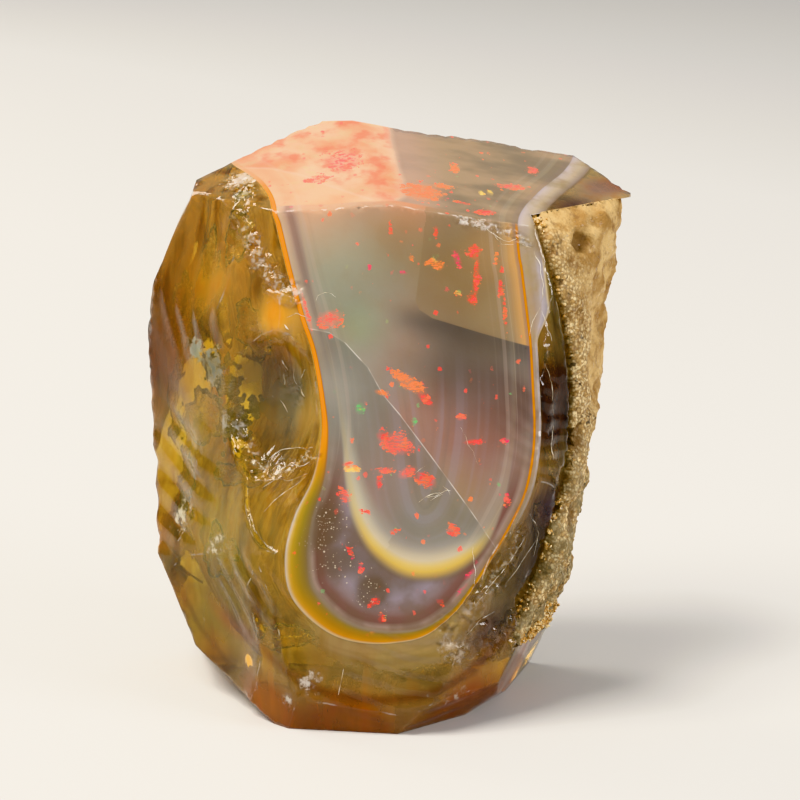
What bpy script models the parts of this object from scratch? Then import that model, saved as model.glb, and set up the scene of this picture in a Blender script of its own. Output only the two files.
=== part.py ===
"""Precious opal specimen: a broken nodule of amber opal with host rock along its right-hand side.

The stone is made the way it broke. A block is cut by flat fracture faces, then round shells are
flaked out of it, as glassy opal breaks. The host rock lies outside the rounded wall of the pocket
that the opal filled, on the right-hand side only, and its outer skin is lumpy.

Frame: +Z up, -Y towards the viewer, +X to the viewer's right. The finished stone's origin is under
its middle, on the surface that it stands on. Points below are measured from the foot of its front
face instead, and every object hangs on one empty that brings the stone's middle to the origin.
A direction is given as a facing: the turn from the viewer towards +X, then the tilt above the
horizon, both in degrees.
"""

import math

import bmesh
import bpy
from mathutils import Matrix, Vector

MM = 0.001

# Driving sizes, in millimetres
STONE_MIDDLE = (0.02, 8.15, 0.0)
BLOCK_SIZE = 60.0
EDGE_WEAR = 0.15
JOINT_GAP = 0.3

# How finely a shell is turned, how far its arc goes past the rim, and the flake's thickness
ARC_STEPS = 7
TURN_STEPS = 26
LARGE_SHELL = 4.0
ARC_PAST_RIM = 1.25
FLAKE_THICKNESS = 8.0

# Flat fracture faces: name, (turn, tilt) of the facing, and a point that the face passes through
FRACTURE_FACES = (
    ("front", (0, 15), (0.0, 3.4, 12.0)),
    ("front_upper_right", (8, 19), (4.0, 4.6, 17.0)),
    ("front_right_bevel", (42, 9), (6.4, 3.9, 14.0)),
    ("front_right_low", (36, -6), (5.4, 2.5, 9.1)),
    ("front_left_bevel", (-30, 12), (-4.6, 3.7, 12.6)),
    ("front_left_low", (-42, -4), (-5.2, 2.2, 6.0)),
    ("front_foot", (-8, -16), (0.0, 0.75, 2.0)),
    ("right_foot", (38, -38), (1.0, 1.75, 0.0)),
    ("left_oblique", (-48, 6), (-6.3, 4.6, 13.0)),
    ("left_top", (-88, 24), (-10.6, 10.2, 17.0)),
    ("left_side", (-92, -3), (-10.6, 10.2, 16.9)),
    ("left_low", (-80, -20), (-9.95, 7.0, 5.9)),
    ("left_under", (-70, -43), (-8.9, 6.0, 2.75)),
    ("top_left", (-10, 74), (-2.0, 5.9, 21.8)),
    ("top_right", (38, 74), (0.5, 5.9, 21.9)),
    ("top_left_slope", (-47, 72), (-8.37, 10.0, 21.98)),
    ("right_top_slope", (42, 48), (8.0, 8.2, 21.1)),
    ("right_oblique_top", (54, 10), (7.5, 6.3, 20.0)),
    ("right_oblique", (66, 1), (8.3, 5.6, 13.0)),
    ("right_tip", (90, 50), (10.1, 11.5, 21.75)),
    ("right_side", (86, -8), (10.4, 10.5, 20.4)),
    ("right_low", (72, -22), (8.8, 7.0, 8.2)),
    ("right_under", (58, -49), (4.44, 5.36, 0.0)),
    ("back", (180, 5), (0.0, 14.4, 21.0)),
    ("back_low", (176, -24), (0.0, 14.6, 9.0)),
    ("back_left", (-146, 5), (-6.2, 12.2, 20.0)),
    ("back_right", (130, -4), (8.6, 12.9, 14.0)),
    ("foot", (0, -90), (0.0, 0.0, 0.0)),
)

# Flaked shells: name, facing, the middle of the rim, the rim's half width and half height, and depth
FLAKED_SHELLS = (
    ("front_lower", (0, 15), (-14.2, 0.2, 0.0), (20.6, 20.6), 1.06),
    ("notch", (-50, 6), (-4.5, 4.2, 13.7), (2.1, 3.2), 1.3),
    ("notch_foot", (-36, 2), (-4.4, 3.2, 10.4), (1.5, 2.4), 0.5),
    ("left_shoulder", (-50, 14), (-8.0, 7.3, 19.2), (3.4, 4.6), 0.6),
    ("left_middle", (-60, 2), (-9.2, 7.2, 11.4), (3.0, 4.6), 0.55),
    ("left_low", (-52, -10), (-7.4, 4.5, 5.0), (3.2, 4.0), 0.6),
    ("left_ripple", (-34, -2), (-5.6, 2.5, 6.6), (2.2, 4.2), 0.35),
    ("left_corner", (-40, 44), (-6.6, 6.8, 21.9), (2.8, 1.6), 0.5),
    ("top_left", (-20, 74), (-4.0, 9.6, 23.1), (3.6, 3.6), 0.32),
    ("bevel_upper", (44, 10), (7.2, 5.0, 17.0), (1.3, 2.6), 0.35),
    ("bevel_middle", (48, 6), (7.6, 4.7, 12.6), (1.2, 2.2), 0.35),
    ("bevel_lower", (40, -4), (6.2, 3.1, 8.4), (1.6, 2.6), 0.4),
    ("low_right_edge", (26, 2), (4.6, 2.1, 6.0), (1.6, 2.9), 0.3),
    ("foot_ledge", (2, -8), (-0.6, 0.7, 1.5), (5.2, 1.5), 0.2),
    ("foot_corner", (-26, -26), (-4.2, 1.0, 1.2), (2.2, 1.4), 0.35),
    ("back_upper", (178, 4), (-1.4, 14.5, 18.8), (6.2, 6.4), 0.8),
    ("back_middle", (-152, -4), (-5.4, 13.4, 11.0), (5.4, 5.6), 0.8),
    ("back_lower", (170, -22), (1.6, 13.2, 6.0), (5.2, 4.6), 0.7),
    ("back_side", (-104, 2), (-10.7, 10.6, 15.6), (2.8, 5.2), 0.4),
)

# The shell that thins the host rock below the stone's upper right-hand corner
ROCK_HOLLOW = ("rock_hollow", (80, -6), (9.75, 8.0, 16.2), (5.2, 5.6), 0.95)

# The pocket in the host rock that the opal filled: an ellipsoid
POCKET_MIDDLE = (-0.9, 7.0, 12.8)
POCKET_RADII = (9.1, 9.0, 14.2)

# The host rock is kept behind these faces, which it was broken along
ROCK_LIMITS = (
    ("rock_left_end", (-80, 0), (5.7, 3.2, 4.0)),
    ("rock_top_end", (-140, 78), (8.0, 8.2, 21.05)),
    ("rock_lower_end", (30, -74), (6.0, 3.6, 3.5)),
)

# Lumps of the host rock's outer skin
ROCK_GRID = 0.62
ROCK_LUMPS = (("rock_lumps", 1.8, 0.9), ("rock_bumps", 0.7, 0.45))

OPAL_COLOUR = (0.62, 0.36, 0.12, 1.0)
ROCK_COLOUR = (0.58, 0.42, 0.22, 1.0)


def clear_scene():
    """Empties the scene that Blender starts with."""
    for item in list(bpy.data.objects):
        bpy.data.objects.remove(item)


def point(x, y, z):
    """A point given in millimetres."""
    return Vector((x, y, z)) * MM


def facing(turn, tilt):
    """The unit vector of a facing: turn from the viewer towards +X, tilt above the horizon."""
    turn, tilt = math.radians(turn), math.radians(tilt)
    level = math.cos(tilt)
    return Vector((math.sin(turn) * level, -math.cos(turn) * level, math.sin(tilt)))


def hang_stone():
    """The empty that carries the stone, with the stone's middle over the origin."""
    middle = bpy.data.objects.new("stone_middle", None)
    middle.location = -point(*STONE_MIDDLE)
    bpy.context.scene.collection.objects.link(middle)


def new_object(name, bm):
    """A mesh object that holds bm, which is freed, and hangs on the stone's empty."""
    mesh = bpy.data.meshes.new(name)
    bm.to_mesh(mesh)
    bm.free()
    item = bpy.data.objects.new(name, mesh)
    item.parent = bpy.data.objects["stone_middle"]
    bpy.context.scene.collection.objects.link(item)
    return item


def as_guide(item):
    """Marks item as a cutter, which isn't part of the stone."""
    item.hide_render = True
    item.display_type = "WIRE"
    return item


def cut_flat(bm, at, normal):
    """Cuts off what lies beyond the plane through at, and closes the cut with one face."""
    everything = bm.verts[:] + bm.edges[:] + bm.faces[:]
    cut = bmesh.ops.bisect_plane(
        bm, geom=everything, plane_co=at, plane_no=normal, clear_outer=True, dist=1e-7
    )
    rim = [part for part in cut["geom_cut"] if isinstance(part, bmesh.types.BMEdge)]
    if rim:
        bmesh.ops.edgenet_fill(bm, edges=rim)


def cut_block(faces, growth=0.0):
    """A block cut by every face of a table, each face moved outwards by growth."""
    bm = bmesh.new()
    bmesh.ops.create_cube(bm, size=BLOCK_SIZE * MM)
    for _, direction, at in faces:
        outwards = facing(*direction)
        cut_flat(bm, point(*at) + outwards * growth * MM, outwards)
    bmesh.ops.recalc_face_normals(bm, faces=bm.faces)
    return bm


def wear_edges(bm):
    """Takes the sharpness off every edge."""
    bmesh.ops.bevel(
        bm,
        geom=bm.edges[:],
        offset=EDGE_WEAR * MM,
        affect="EDGES",
        segments=1,
        profile=0.5,
        material=-1,
        clamp_overlap=True,
    )


def shell_cutter(name, direction, rim_middle, rim_radii, depth):
    """The flake that leaves a shell: an arc turned about the facing, closed on the outside.

    The arc goes on past the rim, so the shell also reaches surfaces that fall away beside it.
    """
    half_width, half_height = rim_radii
    sphere_radius = (half_width**2 + depth**2) / (2 * depth)
    rim_angle = math.asin(min(1.0, half_width / sphere_radius))
    end_angle = min(rim_angle * ARC_PAST_RIM, math.pi / 2)
    bm = bmesh.new()
    profile = []
    for step in range(ARC_STEPS + 1):
        angle = end_angle * step / ARC_STEPS
        across = sphere_radius * math.sin(angle)
        height = sphere_radius * (1 - math.cos(angle)) - depth
        profile.append(bm.verts.new((across * MM, 0, height * MM)))
    top = profile[-1].co.z + FLAKE_THICKNESS * MM
    profile.append(bm.verts.new((profile[-1].co.x, 0, top)))
    profile.append(bm.verts.new((0, 0, top)))
    edges = [bm.edges.new(pair) for pair in zip(profile, profile[1:])]
    bmesh.ops.spin(
        bm,
        geom=profile + edges,
        cent=(0, 0, 0),
        axis=(0, 0, 1),
        angle=math.tau,
        steps=TURN_STEPS if half_width < LARGE_SHELL else 2 * TURN_STEPS,
        use_merge=True,
    )
    bmesh.ops.remove_doubles(bm, verts=bm.verts[:], dist=1e-7)
    bmesh.ops.scale(bm, vec=(1, half_height / half_width, 1), verts=bm.verts[:])
    bmesh.ops.recalc_face_normals(bm, faces=bm.faces)
    turned = facing(*direction).to_track_quat("Z", "Y").to_matrix().to_4x4()
    bmesh.ops.transform(bm, matrix=Matrix.Translation(point(*rim_middle)) @ turned, verts=bm.verts)
    return as_guide(new_object("cut_" + name, bm))


def combine(item, other, operation, solver="EXACT"):
    """Adds a Boolean of item with other."""
    modifier = item.modifiers.new(other.name, "BOOLEAN")
    modifier.operation = operation
    modifier.object = other
    modifier.solver = solver


def rock_zone(name, growth):
    """The space of the host rock: behind its broken ends and outside the opal's pocket."""
    zone = as_guide(new_object(name, cut_block(ROCK_LIMITS, growth)))
    pocket = bmesh.new()
    radii = [radius - growth for radius in POCKET_RADII]
    place = Matrix.Translation(point(*POCKET_MIDDLE)) @ Matrix.Diagonal((*point(*radii), 1.0))
    bmesh.ops.create_uvsphere(pocket, u_segments=56, v_segments=36, radius=1.0, matrix=place)
    combine(zone, as_guide(new_object(name + "_pocket", pocket)), "DIFFERENCE")
    return zone


def principled(name, colour, roughness, transmission):
    """A material with one Principled BSDF."""
    material = bpy.data.materials.new(name)
    material.use_nodes = True
    shader = material.node_tree.nodes["Principled BSDF"]
    shader.inputs["Base Color"].default_value = colour
    shader.inputs["Roughness"].default_value = roughness
    shader.inputs["Metallic"].default_value = 0.0
    shader.inputs["Transmission Weight"].default_value = transmission
    return material


def make_opal():
    """The opal: the broken block less the flaked shells and the space of the host rock."""
    bm = cut_block(FRACTURE_FACES)
    wear_edges(bm)
    opal = new_object("opal", bm)
    for shell in FLAKED_SHELLS:
        combine(opal, shell_cutter(*shell), "DIFFERENCE")
    combine(opal, rock_zone("rock_zone_with_gap", JOINT_GAP), "DIFFERENCE")
    opal.data.materials.append(principled("amber opal", OPAL_COLOUR, 0.08, 0.6))


def make_host_rock():
    """The host rock: the block with a lumpy skin, kept in the host rock's space."""
    rock = new_object("host_rock_crust", cut_block(FRACTURE_FACES))
    combine(rock, shell_cutter(*ROCK_HOLLOW), "DIFFERENCE")
    grid = rock.modifiers.new("grid", "REMESH")
    grid.mode = "VOXEL"
    grid.voxel_size = ROCK_GRID * MM
    for name, size, height in ROCK_LUMPS:
        clouds = bpy.data.textures.new(name, "CLOUDS")
        clouds.noise_scale = size * MM
        lumps = rock.modifiers.new(name, "DISPLACE")
        lumps.texture = clouds
        lumps.texture_coords = "LOCAL"
        lumps.strength = height * MM
        lumps.mid_level = 0.6
    combine(rock, rock_zone("rock_zone", 0.0), "INTERSECT", solver="MANIFOLD")
    rock.data.materials.append(principled("sandy host rock", ROCK_COLOUR, 0.9, 0.0))


def main():
    """Builds the opal and the host rock."""
    clear_scene()
    hang_stone()
    make_opal()
    make_host_rock()


main()
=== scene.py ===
"""Looks of the precious opal specimen: clear amber opal round a milky, banded heart, with a rock crust.

The stone is dressed by where a point lies in it and not by its outer surface. The growth lines are drawn
once, on the broken front face, and run back into the stone as nested walls that bulge on their way. Every
point then knows how far it lies from each wall, so the bands agree on the front, top, sides and back.

Points and sizes below are in millimetres in the part's own frame: +Z up, -Y towards the viewer, +X to the
viewer's right, with the origin under the middle of the stone.
"""

from __future__ import annotations

import logging
import math
from abc import ABC, abstractmethod
from collections.abc import Callable
from dataclasses import dataclass, field
from enum import Enum
from functools import partial, reduce

import bmesh
import bpy
import numpy as np
from bmesh.types import BMesh
from bpy.types import Material, Mesh, Object
from mathutils import Matrix, Vector, noise
from mathutils.bvhtree import BVHTree
from mathutils.kdtree import KDTree

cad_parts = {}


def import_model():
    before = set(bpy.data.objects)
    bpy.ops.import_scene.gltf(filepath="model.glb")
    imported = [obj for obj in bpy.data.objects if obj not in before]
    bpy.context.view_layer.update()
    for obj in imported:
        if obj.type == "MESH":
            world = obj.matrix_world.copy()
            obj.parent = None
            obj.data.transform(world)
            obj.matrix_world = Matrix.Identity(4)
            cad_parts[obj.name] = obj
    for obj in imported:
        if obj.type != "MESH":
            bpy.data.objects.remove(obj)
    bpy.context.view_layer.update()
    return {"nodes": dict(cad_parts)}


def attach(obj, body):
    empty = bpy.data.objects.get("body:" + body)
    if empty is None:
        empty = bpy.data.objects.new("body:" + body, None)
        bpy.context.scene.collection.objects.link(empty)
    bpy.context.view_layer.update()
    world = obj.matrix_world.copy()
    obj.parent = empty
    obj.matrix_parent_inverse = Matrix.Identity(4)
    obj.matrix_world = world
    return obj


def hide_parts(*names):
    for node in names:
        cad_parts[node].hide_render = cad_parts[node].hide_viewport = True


MM = 0.001
BODY = "root"
SEED = 11
# The largest distance that is stored on a mesh, in millimetres.
FAR = 30.0

Array = np.ndarray
Colour = tuple[float, float, float, float]
Point = tuple[float, float, float]
Socket = bpy.types.NodeSocket

log = logging.getLogger("opal")


def tone(red: int, green: int, blue: int) -> Colour:
    """A colour as the eye sees it, turned into linear light.

    Args:
        red: The red share, 0 to 255.
        green: The green share, 0 to 255.
        blue: The blue share, 0 to 255.

    Returns:
        The linear colour, with an alpha of 1.
    """
    shares = (value / 255 for value in (red, green, blue))
    linear = (s / 12.92 if s < 0.04 else ((s + 0.055) / 1.055) ** 2.4 for s in shares)
    return (*linear, 1.0)


def rise(values: Array, low: float, high: float) -> Array:
    """A smooth step.

    Args:
        values: What to step on.
        low: Where the step starts.
        high: Where it ends. It may lie below low, and the step then falls.

    Returns:
        0 before low, 1 after high and a smooth climb in between.
    """
    share = np.clip((values - low) / (high - low), 0.0, 1.0)
    return share * share * (3 - 2 * share)


def clouds(points: Array, size: float, octaves: int = 2, shift: float = 0.0) -> Array:
    """Smooth, lasting noise at some points.

    Args:
        points: The points, in millimetres.
        size: The width of a lump, in millimetres.
        octaves: How many finer layers it has.
        shift: Moves the pattern, so that two uses differ.

    Returns:
        One value a point, about -1 to 1.
    """
    scaled = points / size + shift
    return np.array([noise.fractal(Vector(p), 1.0, 2.0, octaves) for p in scaled.tolist()])


def positions(mesh: Mesh) -> Array:
    """Where the vertices of a mesh are.

    Args:
        mesh: The mesh.

    Returns:
        One row a vertex, in millimetres.
    """
    flat = np.empty(len(mesh.vertices) * 3)
    mesh.vertices.foreach_get("co", flat)
    return flat.reshape(-1, 3) / MM


def outwards(mesh: Mesh) -> Array:
    """Which way the vertices of a mesh face.

    Args:
        mesh: The mesh.

    Returns:
        One unit row a vertex.
    """
    flat = np.empty(len(mesh.vertices) * 3)
    mesh.vertex_normals.foreach_get("vector", flat)
    return flat.reshape(-1, 3)


def move_to(mesh: Mesh, points: Array) -> None:
    """Moves every vertex.

    Args:
        mesh: The mesh.
        points: The new places, in millimetres, one row a vertex.
    """
    mesh.vertices.foreach_set("co", (points * MM).ravel())
    mesh.update()


def mark(mesh: Mesh, name: str, values: Array) -> None:
    """Stores a value or a colour on every vertex, for the finishes to read.

    Args:
        mesh: The mesh.
        name: The attribute's name.
        values: One number a vertex, or one row of red, green and blue.
    """
    if values.ndim == 1:
        layer = mesh.attributes.new(name, "FLOAT", "POINT")
        layer.data.foreach_set("value", values.astype(np.float32))
        return
    layer = mesh.attributes.new(name, "FLOAT_COLOR", "POINT")
    full = np.ones((len(values), 4), dtype=np.float32)
    full[:, :3] = values
    layer.data.foreach_set("color", full.ravel())


def new_piece(name: str, bm: BMesh) -> Object:
    """An object at the origin that holds a bmesh, which is freed.

    Args:
        name: The piece's name.
        bm: Its shape, in metres in the part's frame.

    Returns:
        The object, shaded smooth.
    """
    mesh = bpy.data.meshes.new(name)
    bm.to_mesh(mesh)
    bm.free()
    mesh.shade_smooth()
    piece = bpy.data.objects.new(name, mesh)
    bpy.context.scene.collection.objects.link(piece)
    return piece


def settled(piece: Object) -> None:
    """Replaces a piece's mesh with what its modifiers make of it.

    Args:
        piece: The piece, whose modifiers are removed.
    """
    graph = bpy.context.evaluated_depsgraph_get()
    made = bpy.data.meshes.new_from_object(piece.evaluated_get(graph))
    piece.modifiers.clear()
    piece.data = made
    made.name = piece.name


def merged_copy(node: Object) -> BMesh:
    """A copy of a solid of the frame, with its loose triangles joined up.

    Args:
        node: The solid.

    Returns:
        The copy, with flat faces whole again.
    """
    bm = bmesh.new()
    bm.from_mesh(node.data)
    bmesh.ops.transform(bm, matrix=node.matrix_world, verts=bm.verts)
    bmesh.ops.remove_doubles(bm, verts=bm.verts[:], dist=0.002 * MM)
    bmesh.ops.dissolve_limit(
        bm, angle_limit=math.radians(0.4), verts=bm.verts[:], edges=bm.edges[:], use_dissolve_boundaries=False
    )
    cut_up(bm)
    drop_slivers(bm, 0.03)
    return bm


def cut_up(bm: BMesh) -> None:
    """Cuts every face with more than three corners into triangles."""
    many = [f for f in bm.faces if len(f.verts) > 3]
    bmesh.ops.triangulate(bm, faces=many, quad_method="BEAUTY", ngon_method="BEAUTY")


def drop_slivers(bm: BMesh, width: float) -> None:
    """Melts away triangles that are too narrow.

    Args:
        bm: The mesh.
        width: The least width, in millimetres.
    """
    bmesh.ops.dissolve_degenerate(bm, dist=width * MM, edges=bm.edges[:])
    cut_up(bm)


def refine(bm: BMesh, wanted: Callable[[Array], Array], rounds: int) -> None:
    """Splits long edges until a mesh is fine enough to carry relief.

    Args:
        bm: The mesh, in triangles.
        wanted: Gives the longest edge wanted at some points, all in millimetres.
        rounds: How many times the edges may be halved.
    """
    for _ in range(rounds):
        edges = bm.edges[:]
        ends = np.array([(*e.verts[0].co, *e.verts[1].co) for e in edges]) / MM
        length = np.linalg.norm(ends[:, :3] - ends[:, 3:], axis=1)
        limit = wanted((ends[:, :3] + ends[:, 3:]) / 2)
        long = [edge for edge, over in zip(edges, length > limit) if over]
        if not long:
            return
        bmesh.ops.subdivide_edges(bm, edges=long, cuts=1)
        cut_up(bm)
        flat = [e for e in bm.edges if len(e.link_faces) == 2 and e.calc_face_angle(1.0) < 0.005]
        bmesh.ops.beautify_fill(bm, faces=bm.faces[:], edges=flat, method="ANGLE")


def keep_inside(bm: BMesh, node: Object, margin: float) -> None:
    """Pushes what comes too near a solid's surface back into it.

    Args:
        bm: The mesh to push.
        node: The solid.
        margin: How deep it stays, in millimetres.
    """
    limit = merged_copy(node)
    tree = BVHTree.FromBMesh(limit)
    limit.free()
    for vertex in bm.verts:
        spot, out, _, _ = tree.find_nearest(vertex.co)
        depth = (spot - vertex.co).dot(out)
        if depth < margin * MM:
            vertex.co = spot - out * (margin * MM)


def path_distance(points: Array, path: tuple[Point, ...]) -> Array:
    """How far some points lie from a path of straight runs.

    Args:
        points: The points, in millimetres.
        path: The path's corners, or one point.

    Returns:
        One distance a point, in millimetres.
    """
    corners = np.array(path)
    best = np.linalg.norm(points - corners[0], axis=1)
    for start, end in zip(corners[:-1], corners[1:]):
        run = end - start
        share = np.clip((points - start) @ run / (run @ run), 0.0, 1.0)
        best = np.minimum(best, np.linalg.norm(points - start - share[:, None] * run, axis=1))
    return best


class Graph:
    """A node material under construction, with one Principled BSDF."""

    def __init__(self, name: str) -> None:
        """Makes the empty material.

        Args:
            name: The material's name.
        """
        self.material = bpy.data.materials.new(name)
        self.material.use_nodes = True
        self.nodes = self.material.node_tree.nodes
        self.links = self.material.node_tree.links
        self.shader = self.nodes["Principled BSDF"]
        self.place = self.nodes.new("ShaderNodeTexCoord").outputs["Object"]

    def feed(self, socket: Socket, value: object) -> None:
        """Fills a socket.

        Args:
            socket: The socket.
            value: The output that it is linked to, or its plain value.
        """
        if isinstance(value, Socket):
            self.links.new(value, socket)
        else:
            socket.default_value = value

    def plain(self, **values: object) -> None:
        """Sets or links the shader's sockets, with _ for the spaces in their names."""
        for name, value in values.items():
            self.feed(self.shader.inputs[name.replace("_", " ")], value)

    def math(self, operation: str, first: object, second: object = 0.0, clamp: bool = False) -> Socket:
        """One sum of two values.

        Args:
            operation: The Math node's operation.
            first: A socket or a number.
            second: A socket or a number.
            clamp: Whether the result is kept within 0 and 1.

        Returns:
            The result.
        """
        node = self.nodes.new("ShaderNodeMath")
        node.operation = operation
        node.use_clamp = clamp
        self.feed(node.inputs[0], first)
        self.feed(node.inputs[1], second)
        return node.outputs[0]

    def times(self, *values: object) -> Socket:
        """The product of some values."""
        return reduce(partial(self.math, "MULTIPLY"), values)

    def plus(self, first: object, second: object) -> Socket:
        """The sum of two values."""
        return self.math("ADD", first, second)

    def minus(self, first: object, second: object) -> Socket:
        """One value less another."""
        return self.math("SUBTRACT", first, second)

    def most(self, *values: object) -> Socket:
        """The largest of some values."""
        return reduce(partial(self.math, "MAXIMUM"), values)

    def away(self, value: object) -> Socket:
        """How far a value is from nought."""
        return self.math("ABSOLUTE", value)

    def tally(self, value: Socket, factor: float, extra: float) -> Socket:
        """A value times a factor, plus an extra."""
        return self.plus(self.times(value, factor), extra)

    def rise(self, value: object, low: float, high: float, least: float = 0.0, top: float = 1.0) -> Socket:
        """A smooth step of a value.

        Args:
            value: What to step on.
            low: Where the step starts.
            high: Where it ends. It may lie below low.
            least: What the step is before low.
            top: What it is after high.

        Returns:
            The step.
        """
        node = self.nodes.new("ShaderNodeMapRange")
        node.interpolation_type = "SMOOTHSTEP"
        self.feed(node.inputs["Value"], value)
        for name, number in (("From Min", low), ("From Max", high), ("To Min", least), ("To Max", top)):
            node.inputs[name].default_value = number
        return node.outputs["Result"]

    def step(self, name: str, low: float, high: float, least: float = 0.0, top: float = 1.0) -> Socket:
        """A smooth step of what mark stored under a name."""
        return self.rise(self.attribute(name), low, high, least, top)

    def mix(self, share: object, first: object, second: object, blend: str = "MIX") -> Socket:
        """One colour laid over another.

        Args:
            share: How much of the second shows, a socket or a number.
            first: The colour below.
            second: The colour above.
            blend: The way they blend.

        Returns:
            The mixed colour.
        """
        node = self.nodes.new("ShaderNodeMix")
        node.data_type = "RGBA"
        node.blend_type = blend
        self.feed(node.inputs[0], share)
        self.feed(node.inputs[6], first)
        self.feed(node.inputs[7], second)
        return node.outputs[2]

    def ramp(self, value: Socket, stops: tuple[tuple[float, Colour], ...], low: float, high: float) -> Socket:
        """A colour for each value of a range.

        Args:
            value: What picks the colour.
            stops: The colours, each with the value that it belongs to.
            low: The value at the ramp's start.
            high: The value at its end.

        Returns:
            The colour.
        """
        node = self.nodes.new("ShaderNodeValToRGB")
        elements = node.color_ramp.elements
        while len(elements) < len(stops):
            elements.new(0.5)
        for element, (at, colour) in zip(elements, stops):
            element.position = (at - low) / (high - low)
            element.color = colour
        share = self.math("DIVIDE", self.minus(value, low), high - low, clamp=True)
        self.feed(node.inputs[0], share)
        return node.outputs["Color"]

    def attribute(self, name: str, output: str = "Fac") -> Socket:
        """What mark stored on the mesh.

        Args:
            name: The name that it was stored under.
            output: "Fac" for a number, "Color" for a colour.

        Returns:
            The number or the colour.
        """
        node = self.nodes.new("ShaderNodeAttribute")
        node.attribute_name = name
        return node.outputs[output]

    def stretched(self, scale: Point, turn: Point = (0.0, 0.0, 0.0)) -> Socket:
        """The point's place, turned and scaled, for patterns with a grain.

        Args:
            scale: The factor along each axis.
            turn: The turn round each axis, in degrees.

        Returns:
            The new place.
        """
        node = self.nodes.new("ShaderNodeMapping")
        node.vector_type = "POINT"
        self.feed(node.inputs["Vector"], self.place)
        node.inputs["Rotation"].default_value = tuple(math.radians(value) for value in turn)
        node.inputs["Scale"].default_value = scale
        return node.outputs["Vector"]

    def height(self) -> Socket:
        """How high the point is above the stone's foot.

        Returns:
            The height, in millimetres.
        """
        split = self.nodes.new("ShaderNodeSeparateXYZ")
        self.links.new(self.place, split.inputs[0])
        return self.times(split.outputs["Z"], 1 / MM)

    def parts(self, colour: Socket) -> bpy.types.bpy_prop_collection:
        """The parts of a colour.

        Args:
            colour: The colour.

        Returns:
            Its three parts, as outputs.
        """
        split = self.nodes.new("ShaderNodeSeparateColor")
        self.links.new(colour, split.inputs[0])
        return split.outputs

    def noise(self, size: float, detail: float = 2.0, at: Socket | None = None, rough: float = 0.5) -> Socket:
        """Soft noise.

        Args:
            size: The width of its lumps, in millimetres.
            detail: How many finer layers it has.
            at: Where it is read. Left out, at the point's own place.
            rough: How strong the finer layers are.

        Returns:
            The noise, 0 to 1.
        """
        node = self.nodes.new("ShaderNodeTexNoise")
        self.feed(node.inputs["Vector"], at or self.place)
        node.inputs["Scale"].default_value = 1 / (size * MM)
        node.inputs["Detail"].default_value = detail
        node.inputs["Roughness"].default_value = rough
        return node.outputs["Fac"]

    def layers(self, value: Socket, per_mm: float, detail: float = 3.0) -> Socket:
        """Thin layers: noise along one value alone.

        Args:
            value: The value, such as the distance from a wall.
            per_mm: How many layers a millimetre has.
            detail: How many finer layers there are between them.

        Returns:
            The layers, 0 to 1.
        """
        node = self.nodes.new("ShaderNodeTexNoise")
        node.noise_dimensions = "1D"
        self.feed(node.inputs["W"], value)
        node.inputs["Scale"].default_value = per_mm
        node.inputs["Detail"].default_value = detail
        return node.outputs["Fac"]

    def cells(self, size: float, at: Socket | None = None) -> bpy.types.Node:
        """Grains that fill the stone.

        Args:
            size: Their width, in millimetres.
            at: Where they are read. Left out, at the point's own place.

        Returns:
            The node, whose Color differs from grain to grain and whose Distance is 0 in a grain's middle.
        """
        node = self.nodes.new("ShaderNodeTexVoronoi")
        self.feed(node.inputs["Vector"], at or self.place)
        node.inputs["Scale"].default_value = 1 / (size * MM)
        return node

    def bump(self, height: Socket, depth: float, strength: float = 1.0) -> Socket:
        """The normal of a fine relief.

        Args:
            height: The relief, 0 to 1.
            depth: How deep it is, in millimetres.
            strength: How much of it shows.

        Returns:
            The normal.
        """
        node = self.nodes.new("ShaderNodeBump")
        node.inputs["Strength"].default_value = strength
        node.inputs["Distance"].default_value = depth * MM
        self.feed(node.inputs["Height"], height)
        return node.outputs["Normal"]


@dataclass(frozen=True)
class GrowthLine:
    """A growth line as it shows on the front face, from the top left down and round to the top right.

    Each stop is x, z and the width of the band inside the line.
    """

    stops: tuple[Point, ...]
    steps: int = 10

    def traced(self) -> Array:
        """Draws the line smoothly through its stops.

        Returns:
            One row of x, z and width a point.
        """
        knots = np.array(self.stops)
        knots = np.vstack([2 * knots[0] - knots[1], knots, 2 * knots[-1] - knots[-2]])
        rows = []
        for a, b, c, d in zip(knots[:-3], knots[1:-2], knots[2:-1], knots[3:]):
            for share in np.arange(self.steps) / self.steps:
                bend = (2 * a - 5 * b + 4 * c - d) * share**2 + (3 * b - a - 3 * c + d) * share**3
                rows.append(b + 0.5 * ((c - a) * share + bend))
        return np.vstack([rows, knots[-2]])

    def measure(self, across: Array, up: Array) -> tuple[Array, Array, Array]:
        """Where points of the front face lie from the line.

        Args:
            across: Their x.
            up: Their z.

        Returns:
            The distance, above 0 outside the line, the band's width there, and the share of the way along.
        """
        return beside(self.traced(), across, up)


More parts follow.
